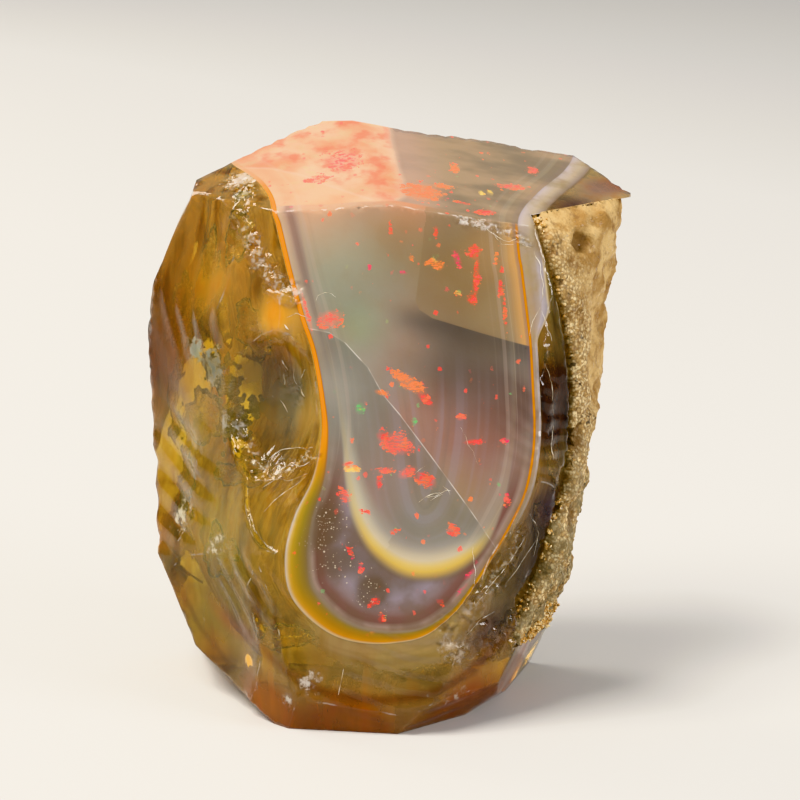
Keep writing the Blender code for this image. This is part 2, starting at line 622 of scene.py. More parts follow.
def beside(line: Array, across: Array, up: Array) -> tuple[Array, Array, Array]:
    """Where points lie from a line of straight runs in the plane of the front face.

    Args:
        line: One row of x, z and a value a corner.
        across: The points' x.
        up: Their z.

    Returns:
        The distance, above 0 on the right for one who follows the line, the line's value at the nearest
        spot, and the share of the way along.
    """
    start, run = line[:-1, :2], np.diff(line[:, :2], axis=0)
    length = np.hypot(run[:, 0], run[:, 1])
    before = np.concatenate([[0.0], np.cumsum(length)[:-1]])
    found = []
    flat = np.column_stack([across, up])
    for some in np.array_split(flat, len(flat) // 4000 + 1):
        gap = some[:, None] - start[None]
        share = np.clip((gap * run).sum(2) / length**2, 0.0, 1.0)
        off = gap - share[..., None] * run
        far = np.hypot(off[..., 0], off[..., 1])
        near = far.argmin(1)
        row = np.arange(len(some))
        side = run[near, 0] * gap[row, near, 1] - run[near, 1] * gap[row, near, 0]
        part = share[row, near]
        value = line[near, 2] + part * (line[near + 1, 2] - line[near, 2])
        along = (before[near] + part * length[near]) / length.sum()
        found.append(np.column_stack([np.where(side > 0, -1, 1) * far[row, near], value, along]))
    return tuple(np.vstack(found).T)


@dataclass(frozen=True)
class Crest:
    """A crisp ridge on the broken front face, with a shallow scoop down each side.

    Each stop is x, z and how strongly the ridge shows there.
    """

    stops: tuple[Point, ...]
    right_drop: float
    left_drop: float
    scoop: float = 0.8
    reach: float = 2.6

    def offset(self, points: Array) -> Array:
        """How far points lie to the ridge's right, below 0 on its left."""
        return beside(np.array(self.stops), points[:, 0], points[:, 2])[0]

    def lift(self, points: Array, depth: Array) -> Array:
        """How far the face falls away from the ridge's top.

        Args:
            points: Where, in millimetres.
            depth: How far the points lie behind the front face.

        Returns:
            One value a point, 0 or below.
        """
        far, strength, _ = beside(np.array(self.stops), points[:, 0], points[:, 2])
        drop = np.where(far > 0, self.right_drop, self.left_drop)
        fall = (1 - np.exp(-np.abs(far) / self.scoop)) * rise(np.abs(far), self.reach, self.scoop)
        return -drop * strength * fall * rise(depth, 0.45, 0.15)


@dataclass(frozen=True)
class Spot:
    """A soft, round place inside the stone."""

    middle: Point
    reach: float
    strength: float = 1.0

    def share(self, points: Array) -> Array:
        """How strong the place is at some points."""
        far = np.linalg.norm((points - self.middle) / self.reach, axis=1)
        return self.strength * np.exp(-far * far)


@dataclass(frozen=True)
class Cloud:
    """A soft patch of colour inside the stone."""

    middle: Point
    reach: float
    colour: Colour
    strength: float = 1.0

    def share(self, points: Array) -> Array:
        """How much of the patch shows at some points."""
        return Spot(self.middle, self.reach, self.strength).share(points)


def strongest(points: Array, patches: tuple[Spot | Cloud, ...]) -> Array:
    """How strong the strongest of some patches is at each point."""
    return np.array([patch.share(points) for patch in patches]).max(0)


class Fire(Enum):
    """The colours that flash in the heart."""

    RED = tone(255, 58, 46)
    CORAL = tone(255, 98, 76)
    ORANGE = tone(255, 132, 52)
    MAGENTA = tone(226, 40, 96)
    GOLD = tone(255, 214, 96)
    GREEN = tone(104, 168, 104)


class Plane(Enum):
    """Which two directions a fleck of fire spreads in."""

    FRONT = (0, 2)
    TOP = (0, 1)


@dataclass(frozen=True)
class Fleck:
    """A fleck of fire: an oval of colour that fine noise makes ragged."""

    middle: Point
    halves: tuple[float, float]
    colour: Fire
    turn: float = 0.0
    plane: Plane = Plane.FRONT
    depth: float = 0.9

    def closeness(self, points: Array) -> Array:
        """How near points are to the fleck's middle.

        Args:
            points: The points, in millimetres.

        Returns:
            1 in the middle, 0 at the fleck's rim and below 0 outside it.
        """
        gap = points - self.middle
        first, second = (gap[:, axis] for axis in self.plane.value)
        angle = math.radians(self.turn)
        along = first * math.cos(angle) + second * math.sin(angle)
        aside = second * math.cos(angle) - first * math.sin(angle)
        behind = gap[:, 3 - sum(self.plane.value)] / self.depth
        oval = np.sqrt((along / self.halves[0]) ** 2 + (aside / self.halves[1]) ** 2 + behind**2)
        return 1.0 - oval


@dataclass(frozen=True)
class Growth:
    """How the opal grew: the two growth lines, their walls, and the colours and fire inside them."""

    outer: GrowthLine = GrowthLine(
        (
            (-5.55, 26.0, 0.20), (-4.96, 21.9, 0.20), (-4.74, 21.1, 0.21), (-4.24, 19.1, 0.21),
            (-3.73, 17.35, 0.20), (-3.24, 15.9, 0.19), (-2.90, 13.95, 0.21), (-2.84, 12.5, 0.29),
            (-3.20, 10.7, 0.48), (-3.96, 9.1, 0.76), (-4.36, 7.4, 0.96), (-4.05, 5.70, 0.96),
            (-2.55, 4.33, 0.80), (-0.79, 3.90, 0.54), (1.25, 4.15, 0.36), (2.6, 5.03, 0.22),
            (3.5, 6.15, 0.15), (4.35, 7.45, 0.12), (5.15, 8.8, 0.11), (5.75, 10.0, 0.11),
            (6.1, 11.4, 0.11), (6.22, 12.8, 0.11), (6.15, 14.6, 0.11), (6.05, 16.3, 0.11),
            (5.88, 17.7, 0.11), (5.68, 19.25, 0.11), (5.5, 20.5, 0.11), (5.1, 26.0, 0.11),
        )
    )
    inner: GrowthLine = GrowthLine(
        (
            (-4.6, 26.0, 0.16), (-3.75, 21.2, 0.18), (-3.0, 17.5, 0.20), (-2.25, 14.4, 0.30),
            (-1.92, 12.3, 0.44), (-1.76, 10.6, 0.62), (-1.42, 8.99, 0.90), (-0.70, 7.72, 1.20),
            (0.49, 6.86, 1.42), (1.75, 6.70, 1.46), (3.02, 7.10, 1.30), (4.07, 8.05, 0.90),
            (4.78, 9.60, 0.55), (5.18, 11.4, 0.36), (5.38, 13.4, 0.26), (5.32, 16.2, 0.24),
            (5.05, 19.3, 0.24), (4.5, 26.0, 0.24),
        )
    )
    ridge: Crest = Crest(
        (
            (-3.25, 16.9, 0.5), (-2.5, 16.75, 0.9), (-1.83, 16.34, 1.0), (-0.86, 15.32, 1.0),
            (-0.23, 14.21, 1.0), (0.49, 13.39, 1.0), (1.95, 11.5, 1.0), (3.44, 9.52, 0.9),
            (4.45, 8.1, 0.6), (5.1, 7.1, 0.2),
        ),
        0.16, 0.06,
    )
    scar: Crest = Crest(
        ((1.5, 20.9, 0.2), (1.36, 19.6, 0.6), (1.14, 18.1, 0.8), (1.3, 17.7, 1.0), (1.85, 17.35, 1.0),
         (3.9, 16.75, 1.0), (6.6, 16.0, 0.8)),
        0.10, 0.02, 0.5, 1.6,
    )
    parting: tuple[Point, ...] = (
        (-0.4, -3.2, 1.0), (-0.1, -2.09, 1.0), (0.57, -1.03, 1.0), (0.27, 1.85, 1.0), (-0.04, 4.95, 1.0),
        (-0.3, 8.0, 1.0),
    )
    crease: tuple[Point, ...] = ((0.3, -2.4, 1.0), (-0.1, -2.09, 1.0), (-3.81, 0.94, 1.0), (-7.0, 2.9, 1.0))
    front_at: tuple[float, float, float] = (-4.75, 12.0, 0.268)
    bulge: float = 2.9
    bulge_depth: float = 9.0
    top_height: float = 21.9
    top_lean: float = 0.245
    top_slopes: tuple[float, float] = (0.08, -0.19)

    def behind_front(self, points: Array) -> Array:
        """How far points lie behind the leaning front face, and 0 before it."""
        y, z, lean = self.front_at
        return np.maximum(points[:, 1] - y - lean * (points[:, 2] - z), 0.0)

    def below_top(self, points: Array) -> Array:
        """How far points lie below the top face, which leans forwards and falls away to the right.

        Args:
            points: The points, in millimetres.

        Returns:
            One distance a point, in millimetres.
        """
        x, y, z = points.T
        left, right = self.top_slopes
        return self.top_height + self.top_lean * (y + 2.1) + np.where(x < 0, left * x, right * x) - z

    def wall_shift(self, depth: Array) -> Array:
        """How far the walls have bulged outwards at a depth behind the front face."""
        return self.bulge * np.sin(math.pi / 2 * np.minimum(depth / self.bulge_depth, 1.35)) ** 2

    def measure(self, points: Array) -> dict[str, Array]:
        """Where points lie among the growth walls.

        Args:
            points: The points, in millimetres.

        Returns:
            For each wall the distance, outside above 0, as "outside" and "within", the place in its band
            as "band" and "rim", 0 at the wall and 1 at the band's inner edge, "past", how far the point
            lies from the outer band's inner edge, below 0 inside it, and "along", the share of the way
            round from the top left to the top right.
        """
        shift = self.wall_shift(self.behind_front(points))
        outside, width, along = self.outer.measure(points[:, 0], points[:, 2])
        within, rim_width, _ = self.inner.measure(points[:, 0], points[:, 2])
        outside, within = outside - shift, within - shift
        return {
            "outside": outside,
            "within": within,
            "band": -outside / width,
            "rim": -within / rim_width,
            "past": outside + width,
            "along": along,
        }


# Where the heart, the clear amber round it and the pale veils in the amber change their tint; among the veils
# is one painted highlight.
HEART_CLOUDS = (
    Cloud((-2.4, -3.2, 19.2), 2.4, tone(140, 142, 124)),
    Cloud((3.2, -2.9, 19.3), 2.3, tone(134, 112, 78)),
    Cloud((4.6, -3.2, 17.2), 1.1, tone(162, 142, 110), 1.1),
    Cloud((4.5, -2.7, 20.0), 1.0, tone(188, 152, 108), 0.9),
    Cloud((0.2, -2.6, 20.6), 1.5, tone(140, 124, 98), 0.8),
    Cloud((-1.2, -3.5, 17.0), 1.0, tone(138, 148, 120), 0.6),
    Cloud((-2.1, -3.9, 14.4), 1.1, tone(170, 162, 150), 0.9),
    Cloud((3.2, -3.9, 15.4), 1.9, tone(92, 84, 76)),
    Cloud((5.2, -4.1, 13.8), 1.4, tone(96, 82, 74)),
    Cloud((0.6, -3.6, 16.6), 1.5, tone(150, 130, 116), 0.7),
    Cloud((3.4, -4.6, 12.2), 2.2, tone(144, 110, 100)),
    Cloud((1.0, -4.7, 12.8), 1.5, tone(154, 124, 110)),
    Cloud((2.6, -5.1, 10.2), 1.3, tone(150, 136, 110), 0.9),
    Cloud((-0.4, -4.9, 10.4), 1.5, tone(154, 126, 116), 0.9),
    Cloud((-3.6, 0.2, 22.4), 2.6, tone(246, 188, 148)),
    Cloud((-1.4, 3.4, 23.2), 2.6, tone(232, 168, 128), 0.95),
    Cloud((0.9, -0.6, 22.1), 1.5, tone(214, 136, 96), 0.95),
    Cloud((3.8, 1.4, 22.0), 2.6, tone(140, 118, 94)),
    Cloud((3.0, 5.0, 22.6), 2.4, tone(170, 142, 118), 0.8),
)

AMBER_CLOUDS = (
    Cloud((-10.6, 0.6, 14.6), 2.8, tone(132, 84, 30), 1.1),
    Cloud((-9.6, 0.4, 8.0), 2.4, tone(156, 118, 46), 0.9),
    Cloud((-8.2, -0.6, 18.4), 2.6, tone(202, 148, 46), 0.9),
    Cloud((-4.7, -3.2, 17.5), 1.1, tone(226, 162, 60), 1.0),
    Cloud((-7.4, -3.0, 7.4), 3.6, tone(192, 178, 90), 1.0),
    Cloud((-7.6, -2.4, 3.4), 2.2, tone(86, 74, 26), 1.5),
    Cloud((-9.5, 0.2, 6.6), 1.0, tone(172, 92, 20), 1.4),
    Cloud((-8.8, -0.6, 4.4), 0.9, tone(160, 88, 20), 1.4),
    Cloud((-7.3, -2.0, 2.2), 1.0, tone(148, 82, 18), 1.4),
    Cloud((-5.2, -5.4, 0.6), 1.9, tone(166, 94, 6), 1.2),
    Cloud((-8.0, -1.6, 11.4), 2.2, tone(194, 168, 70), 0.8),
    Cloud((-4.5, -2.6, 14.2), 1.3, tone(120, 120, 100), 1.4),
    Cloud((-4.5, -2.9, 12.0), 1.1, tone(160, 154, 124), 1.0),
    Cloud((-5.8, -2.7, 14.9), 0.9, tone(136, 112, 66), 1.2),
    Cloud((-1.6, -6.8, 0.2), 2.4, tone(154, 84, 2), 1.2),
    Cloud((3.4, -6.0, 0.6), 2.6, tone(148, 78, 2), 1.2),
    Cloud((5.6, -2.0, 1.4), 2.2, tone(150, 84, 8), 1.5),
    Cloud((7.2, -3.6, 14.2), 2.0, tone(96, 62, 40), 1.1),
    Cloud((6.4, -4.0, 13.2), 1.6, tone(96, 66, 46), 1.0),
    Cloud((6.9, -4.2, 9.4), 1.5, tone(124, 100, 114), 1.0),
    Cloud((6.2, -4.5, 6.4), 1.8, tone(106, 78, 62), 0.9),
    Cloud((4.2, -5.8, 4.4), 1.2, tone(166, 140, 122), 0.9),
    Cloud((9.2, 3.2, 21.6), 1.7, tone(142, 112, 92), 1.0),
    Cloud((10.4, 4.2, 20.8), 0.9, tone(190, 108, 46), 1.2),
    Cloud((8.0, 0.6, 21.2), 1.5, tone(122, 96, 80), 1.0),
)

VEILS_AND_GLINT = (
    # Not a veil: a painted highlight, the golden glint low on the left.
    Cloud((-6.0, -4.4, 2.4), 0.40, tone(255, 190, 44), 1.3),
    Cloud((-6.3, 1.4, 22.4), 1.0, tone(206, 188, 168), 1.0),
    Cloud((-5.9, -0.6, 21.4), 0.6, tone(206, 188, 178), 0.9),
    Cloud((-5.5, -1.7, 20.4), 0.55, tone(208, 190, 182), 1.0),
    Cloud((-5.3, -2.2, 19.4), 0.42, tone(206, 190, 184), 0.9),
    Cloud((-7.5, -2.0, 14.8), 1.0, tone(96, 100, 80), 0.9),
    Cloud((-8.2, -1.0, 15.4), 0.75, tone(146, 150, 132), 1.0),
    Cloud((-6.6, -2.8, 12.5), 0.9, tone(140, 138, 122), 0.8),
    Cloud((-9.0, -1.1, 8.0), 0.9, tone(200, 190, 160), 0.9),
    Cloud((-7.4, -3.3, 7.3), 0.8, tone(204, 198, 166), 0.7),
    Cloud((-4.7, -3.6, 10.9), 0.8, tone(190, 186, 186), 0.6),
    Cloud((-3.3, -6.6, 2.3), 0.6, tone(206, 198, 188), 0.9),
    Cloud((-4.4, -6.5, 1.3), 0.5, tone(206, 198, 188), 0.8),
    Cloud((3.2, -6.7, 1.4), 0.8, tone(206, 192, 176), 0.8),
    Cloud((2.9, -6.4, 3.7), 0.8, tone(184, 162, 134), 0.9),
    Cloud((-8.7, 3.5, 16.0), 1.8, tone(200, 186, 150), 0.7),
    Cloud((-6.5, 5.5, 7.0), 1.6, tone(200, 186, 150), 0.7),
    Cloud((6.0, 5.8, 10.0), 1.8, tone(190, 170, 140), 0.7),
)

# Where the amber is less clear and glows, and where tiny bubbles lie between the two bands.
GLOWS = (
    Spot((-4.7, -3.2, 17.4), 0.95, 0.75),
    Spot((-7.8, -1.0, 18.4), 1.7, 0.35),
    Spot((-7.4, -3.2, 7.8), 2.6, 0.22),
    Spot((-8.8, -1.0, 11.6), 1.6, 0.30),
    Spot((-1.2, -6.8, 0.5), 2.4, 0.50),
    Spot((3.4, -6.0, 0.9), 2.3, 0.46),
    Spot((5.5, -2.2, 1.3), 1.9, 0.95),
    Spot((-5.0, -5.5, 0.8), 1.7, 0.52),
    Spot((-7.4, -2.6, 3.4), 1.9, 0.62),
    Spot((-9.5, 0.2, 6.4), 1.2, 0.50),
    Spot((-8.8, -0.6, 4.4), 1.0, 0.60),
    Spot((-4.3, -2.9, 13.6), 1.4, 0.55),
    Spot((-5.8, -2.7, 14.8), 0.9, 0.50),
    Spot((-9.9, 0.5, 15.0), 1.6, 0.20),
    Spot((9.2, 2.8, 21.6), 2.0, 0.60),
)

BUBBLES = (
    Spot((-2.8, -5.3, 8.7), 1.2, 1.0),
    Spot((-2.2, -5.5, 7.4), 1.0, 0.8),
    Spot((-0.7, -6.1, 6.1), 0.7, 1.5),
)

# The large flecks of fire: on the front from the top left down, and then on the top face.
FLECKS = (
    Fleck((-2.47, -3.3, 17.30), (0.55, 0.34), Fire.CORAL, 12),
    Fleck((-3.46, -3.2, 17.60), (1.05, 0.10), Fire.CORAL, -74),
    Fleck((0.85, -4.05, 14.72), (0.80, 0.26), Fire.ORANGE, -32),
    Fleck((1.55, -4.2, 14.05), (0.42, 0.16), Fire.RED, -40),
    Fleck((-0.30, -4.2, 14.30), (0.30, 0.12), Fire.ORANGE, -10),
    Fleck((0.34, -4.5, 12.16), (0.74, 0.42), Fire.CORAL, -14),
    Fleck((-0.20, -4.6, 12.45), (0.34, 0.20), Fire.RED, -14),
    Fleck((0.80, -4.9, 10.98), (0.42, 0.22), Fire.CORAL, 24),
    Fleck((1.58, -4.95, 10.70), (0.46, 0.26), Fire.RED, -24),
    Fleck((-0.13, -4.9, 11.05), (0.40, 0.14), Fire.CORAL),
    Fleck((-0.40, -5.0, 10.55), (0.14, 0.30), Fire.RED),
    Fleck((3.69, -2.9, 18.90), (1.05, 0.13), Fire.RED, 86),
    Fleck((3.62, -2.5, 20.05), (0.26, 0.30), Fire.RED),
    Fleck((3.52, -3.1, 18.10), (0.22, 0.20), Fire.RED),
    Fleck((2.90, -2.7, 19.75), (0.15, 0.40), Fire.MAGENTA, 20),
    Fleck((2.12, -2.8, 19.48), (0.24, 0.20), Fire.ORANGE),
    Fleck((1.72, -2.7, 19.62), (0.26, 0.11), Fire.ORANGE, 24),
    Fleck((0.95, -2.7, 19.78), (0.12, 0.12), Fire.ORANGE),
    Fleck((0.60, -2.8, 19.20), (0.20, 0.10), Fire.MAGENTA),
    Fleck((4.72, -2.8, 18.90), (0.90, 0.07), Fire.RED, 86),
    Fleck((4.90, -3.1, 17.60), (0.80, 0.07), Fire.RED, 94),
    Fleck((4.55, -2.6, 19.90), (0.40, 0.08), Fire.ORANGE, 88),
    Fleck((2.00, -2.3, 20.85), (0.10, 0.26), Fire.RED),
    Fleck((0.10, -2.4, 20.90), (0.08, 0.40), Fire.RED, 8),
    Fleck((3.62, -4.6, 12.30), (0.46, 0.12), Fire.RED, 4),
    Fleck((3.05, -4.4, 13.30), (0.20, 0.12), Fire.CORAL, 10),
    Fleck((4.95, -4.5, 12.35), (0.20, 0.10), Fire.MAGENTA),
    Fleck((5.00, -4.9, 9.95), (0.14, 0.26), Fire.MAGENTA),
    Fleck((3.45, -4.9, 9.95), (0.13, 0.10), Fire.ORANGE),
    Fleck((-1.84, -4.9, 10.00), (0.20, 0.34), Fire.CORAL, 16),
    Fleck((-1.52, -4.8, 11.08), (0.36, 0.12), Fire.GOLD),
    Fleck((-1.75, -4.7, 11.30), (0.22, 0.12), Fire.CORAL),
    Fleck((-1.63, -5.4, 7.74), (0.13, 0.24), Fire.RED, 24),
    Fleck((-1.20, -5.5, 7.00), (0.10, 0.20), Fire.MAGENTA),
    Fleck((-0.62, -6.0, 5.60), (0.30, 0.16), Fire.RED, 30),
    Fleck((-0.30, -6.2, 4.92), (0.14, 0.22), Fire.RED),
    Fleck((-0.66, -6.3, 4.32), (0.13, 0.13), Fire.ORANGE),
    Fleck((2.20, -6.1, 5.68), (0.20, 0.12), Fire.RED, -34),
    Fleck((3.10, -6.0, 6.20), (0.40, 0.08), Fire.MAGENTA, 50),
    Fleck((3.45, -5.9, 6.85), (0.36, 0.10), Fire.MAGENTA, 42),
    Fleck((2.75, -5.5, 8.60), (0.26, 0.22), Fire.RED),
    Fleck((-1.0, -5.0, 9.35), (0.30, 0.10), Fire.RED, -20),
    Fleck((0.25, -5.3, 8.55), (0.22, 0.10), Fire.RED, 12),
    Fleck((1.98, -2.7, 19.86), (0.16, 0.10), Fire.GREEN),
    Fleck((2.93, -3.1, 18.40), (0.18, 0.12), Fire.GREEN),
    Fleck((-1.20, -4.2, 13.60), (0.22, 0.26), Fire.GREEN),
    Fleck((1.10, -4.4, 13.15), (0.12, 0.20), Fire.GREEN),
    Fleck((1.42, -0.4, 22.0), (0.95, 0.80), Fire.ORANGE, 30, Plane.TOP),
    Fleck((2.30, 0.50, 22.2), (0.42, 0.20), Fire.ORANGE, 10, Plane.TOP),
    Fleck((5.30, 1.68, 21.9), (0.66, 0.26), Fire.CORAL, 12, Plane.TOP),
    Fleck((2.88, 2.61, 22.5), (0.21, 0.42), Fire.ORANGE, 0, Plane.TOP),
    Fleck((3.96, 0.53, 21.9), (0.12, 0.26), Fire.GOLD, 0, Plane.TOP),
    Fleck((4.35, 0.68, 21.9), (0.15, 0.30), Fire.GOLD, 0, Plane.TOP),
    Fleck((6.30, 3.80, 22.0), (0.24, 0.40), Fire.CORAL, 0, Plane.TOP),
    Fleck((4.10, -1.30, 21.5), (0.50, 0.22), Fire.RED, 20, Plane.TOP),
    Fleck((3.20, -0.80, 21.7), (0.36, 0.12), Fire.RED, 0, Plane.TOP),
    Fleck((-2.0, 2.10, 22.9), (0.80, 0.80), Fire.CORAL, 0, Plane.TOP),
    Fleck((-3.0, 0.50, 22.6), (0.50, 0.30), Fire.CORAL, 20, Plane.TOP),
)


@dataclass(frozen=True)
class Ripples:
    """Fine waves in the glassy break, round the point that a blow came from."""

    middle: Point
    reach: float
    source: Point
    spacing: float
    height: float

    def lift(self, points: Array) -> Array:
        """The height of the waves.

        Args:
            points: Where, in millimetres.

        Returns:
            One height a point, in millimetres.
        """
        far = np.linalg.norm(points - self.source, axis=1)
        wobble = 0.9 * clouds(points, self.spacing * 4, 2, 3.1)
        waves = np.sin(math.tau * far / self.spacing + 2.5 * wobble)
        fade = rise(np.linalg.norm(points - self.middle, axis=1), self.reach, self.reach * 0.4)
        return self.height * waves * fade


@dataclass(frozen=True)
class Shards:
    """A splintered patch: flat chips that lean each way, and how white they look."""

    path: tuple[Point, ...]
    reach: float
    size: float
    height: float
    white: float

    def lift(self, points: Array) -> Array:
        """The height of the chips.

        Args:
            points: Where, in millimetres.

        Returns:
            One height a point, in millimetres.
        """
        far = path_distance(points, self.path)
        inside = np.flatnonzero(far < self.reach)
        result = np.zeros(len(points))
        if not len(inside):
            return result
        zone = points[inside]
        generator = np.random.default_rng(SEED)
        low, high = zone.min(0), zone.max(0)
        count = max(4, int(np.prod((high - low) / self.size + 1)))
        seeds = generator.uniform(low, high, (min(count, 1500), 3))
        leans = generator.normal(0.0, 1.0, seeds.shape)
        steps = generator.uniform(-0.5, 0.5, len(seeds))
        tree = KDTree(len(seeds))
        for index, seed in enumerate(seeds):
            tree.insert(seed, index)
        tree.balance()
        nearest = np.array([tree.find(p)[1] for p in zone.tolist()])
        tilt = ((zone - seeds[nearest]) * leans[nearest]).sum(1) / self.size
        result[inside] = self.height * (0.6 * np.clip(tilt, -1, 1) + steps[nearest])
        return result * rise(far, self.reach, self.reach * 0.5)


# The paths along which the stone is splintered.
CHIP_RIDGE = ((-6.6, 1.2, 22.3), (-6.1, 0.1, 22.1), (-5.9, -1.4, 20.8), (-5.4, -2.3, 19.5),
              (-4.7, -2.8, 18.7), (-4.1, -3.05, 18.35))
TOP_CHIPS = ((3.0, -2.14, 21.35), (3.9, -2.13, 21.1), (5.2, -2.1, 20.75), (5.9, -2.1, 20.3))
HOLLOW_CHIPS = ((-5.52, -2.86, 16.93), (-4.82, -2.75, 16.03), (-4.5, -2.46, 14.72), (-3.77, -2.87, 13.64))
NOTCH_RIM = ((-6.3, -2.9, 12.5), (-5.7, -3.2, 11.2), (-5.0, -3.6, 10.4), (-3.3, -4.4, 11.6))
RIGHT_SHARDS = ((5.6, -5.2, 8.4), (4.4, -5.8, 6.4), (3.5, -6.2, 5.4))
LOW_SHARDS = ((3.0, -6.4, 4.4), (4.4, -5.8, 3.8), (5.6, -4.8, 4.2))


@dataclass
class Piece(ABC):
    """One piece of the stone, built on one of its solids."""

    piece: Object | None = field(default=None, init=False)

    @abstractmethod
    def build(self, node: Object) -> Object:
        """Makes the piece's shape on its solid."""

    @abstractmethod
    def dress(self) -> None:
        """Gives the piece its finish."""

    def wear(self, material: Material) -> None:
        """Gives the piece its one material."""
        self.piece.data.materials.clear()
        self.piece.data.materials.append(material)


@dataclass
class OpalNodule(Piece):
    """The clear amber opal with the milky heart that its broken faces cut across."""

    growth: Growth
    coarse: float = 0.42
    front: float = 0.27
    fine: float = 0.13
    halvings: int = 9
    sharp_angle: float = 19.0
    crease_angle: float = 34.0
    sound_area: float = 0.001
    smoothing: int = 14
    chip_depth: float = 0.07
    swell: float = 0.05
    ripples: tuple[Ripples, ...] = (
        Ripples((-4.3, -3.7, 10.6), 1.7, (-9.4, -3.0, 14.6), 0.30, 0.035),
        Ripples((-5.9, -4.6, 5.6), 2.6, (-0.5, -5.5, 9.5), 0.80, 0.060),
        Ripples((-8.4, -0.8, 18.0), 4.0, (-2.0, -1.0, 18.0), 0.85, 0.042),
        Ripples((-9.0, 0.0, 9.5), 4.5, (-4.0, -2.0, 22.0), 1.30, 0.060),
        Ripples((6.9, -3.6, 12.5), 3.0, (9.5, -4.0, 18.5), 0.60, 0.035),
        Ripples((0.5, -6.8, 1.8), 4.0, (2.0, -6.0, 12.0), 0.70, 0.030),
        Ripples((-1.0, 6.0, 16.0), 6.5, (7.0, 6.0, 24.0), 1.20, 0.050),
        Ripples((2.0, 5.0, 6.5), 5.0, (-6.0, 5.0, 1.0), 1.00, 0.050),
    )
    shards: tuple[Shards, ...] = (
        Shards(CHIP_RIDGE, 0.75, 0.34, 0.15, 1.0),
        Shards(TOP_CHIPS, 0.30, 0.18, 0.08, 1.0),
        Shards(NOTCH_RIM, 0.55, 0.26, 0.09, 0.75),
        Shards(RIGHT_SHARDS, 0.75, 0.42, 0.14, 0.60),
        Shards(LOW_SHARDS, 1.30, 0.50, 0.16, 0.35),
        Shards(HOLLOW_CHIPS, 0.50, 0.30, 0.07, 0.30),
    )

    def wanted_edge(self, points: Array) -> Array:
        """The longest edge wanted: short in front, and shorter where the stone is splintered.

        Args:
            points: Where, in millimetres.

        Returns:
            One length a point, in millimetres.
        """
        length = np.where(points[:, 1] < 0.5, self.front, self.coarse)
        for patch in self.shards:
            length = np.where(path_distance(points, patch.path) < patch.reach, self.fine, length)
        wrinkled = self.ripples[0]
        near = np.linalg.norm(points - wrinkled.middle, axis=1) < wrinkled.reach
        depth = self.growth.behind_front(points)
        for crest in (self.growth.ridge, self.growth.scar):
            near |= (np.abs(crest.offset(points)) < 0.3) & (depth < 0.4)
        return np.where(near, self.fine, length)

    def soften(self, bm: BMesh) -> KDTree:
        """Rounds the faceted shells, but not the broken edges.

        Args:
            bm: The refined stone.

        Returns:
            The points of the broken edges, for measuring from.
        """
        drop_slivers(bm, 0.02)
        limit = math.radians(self.sharp_angle)
        sound = {f for f in bm.faces if f.calc_area() > self.sound_area * MM * MM}
        bent = [e for e in bm.edges if e.calc_face_angle(0.0) > limit and sound.issuperset(e.link_faces)]
        crisp = {v for e in bent for v in e.verts}
        free = [v for v in bm.verts if v not in crisp]
        for _ in range(self.smoothing):
            bmesh.ops.smooth_vert(
                bm, verts=free, factor=0.5, use_axis_x=True, use_axis_y=True, use_axis_z=True
            )
        tree = KDTree(len(crisp))
        for index, vertex in enumerate(crisp):
            tree.insert(vertex.co / MM, index)
        tree.balance()
        return tree

    def relief(self, edges: KDTree) -> None:
        """Moves the surface in and out, and marks how far it lies from a broken edge.

        Args:
            edges: The points of the broken edges.
        """
        mesh = self.piece.data
        points = positions(mesh)
        edge = np.array([edges.find(p)[2] for p in points.tolist()])
        lift = self.swell * clouds(points, 2.6, 2, 1.7)
        for patch in (*self.ripples, *self.shards):
            lift += patch.lift(points)
        depth = self.growth.behind_front(points)
        lift += self.growth.ridge.lift(points, depth) + self.growth.scar.lift(points, depth)
        chips = rise(clouds(points, 0.5, 2, 5.0), 0.05, 0.45) * rise(edge, 0.22, 0.0)
        lift -= self.chip_depth * chips
        foot = rise(points[:, 2], 0.02, 0.5)
        move_to(mesh, points + outwards(mesh) * (lift * foot)[:, None])
        mark(mesh, "edge", edge)

    def frost(self, points: Array) -> Array:
        """Where the stone is splintered and looks white.

        Args:
            points: Where, in millimetres.

        Returns:
            One share a point, 0 to 1.
        """
        total = np.zeros(len(points))
        for patch in self.shards:
            far = path_distance(points, patch.path)
            total = np.maximum(total, patch.white * rise(far, patch.reach, patch.reach * 0.2))
        return total

    def build(self, node: Object) -> Object:
        """Makes the fine stone in place of the plain solid.

        Args:
            node: The stone's solid.

        Returns:
            The fine piece.
        """
        bm = merged_copy(node)
        refine(bm, self.wanted_edge, self.halvings)
        edges = self.soften(bm)
        self.piece = new_piece("opal_nodule", bm)
        self.relief(edges)
        self.piece.data.set_sharp_from_angle(angle=math.radians(self.crease_angle))
        return self.piece

    def dress(self) -> None:
        """Stores the growth marks on the mesh and gives it the opal's finish."""
        mesh = self.piece.data
        points = positions(mesh)
        store_growth(mesh, points, self.growth)
        mark(mesh, "frost", self.frost(points))
        self.wear(OpalFinish().material())


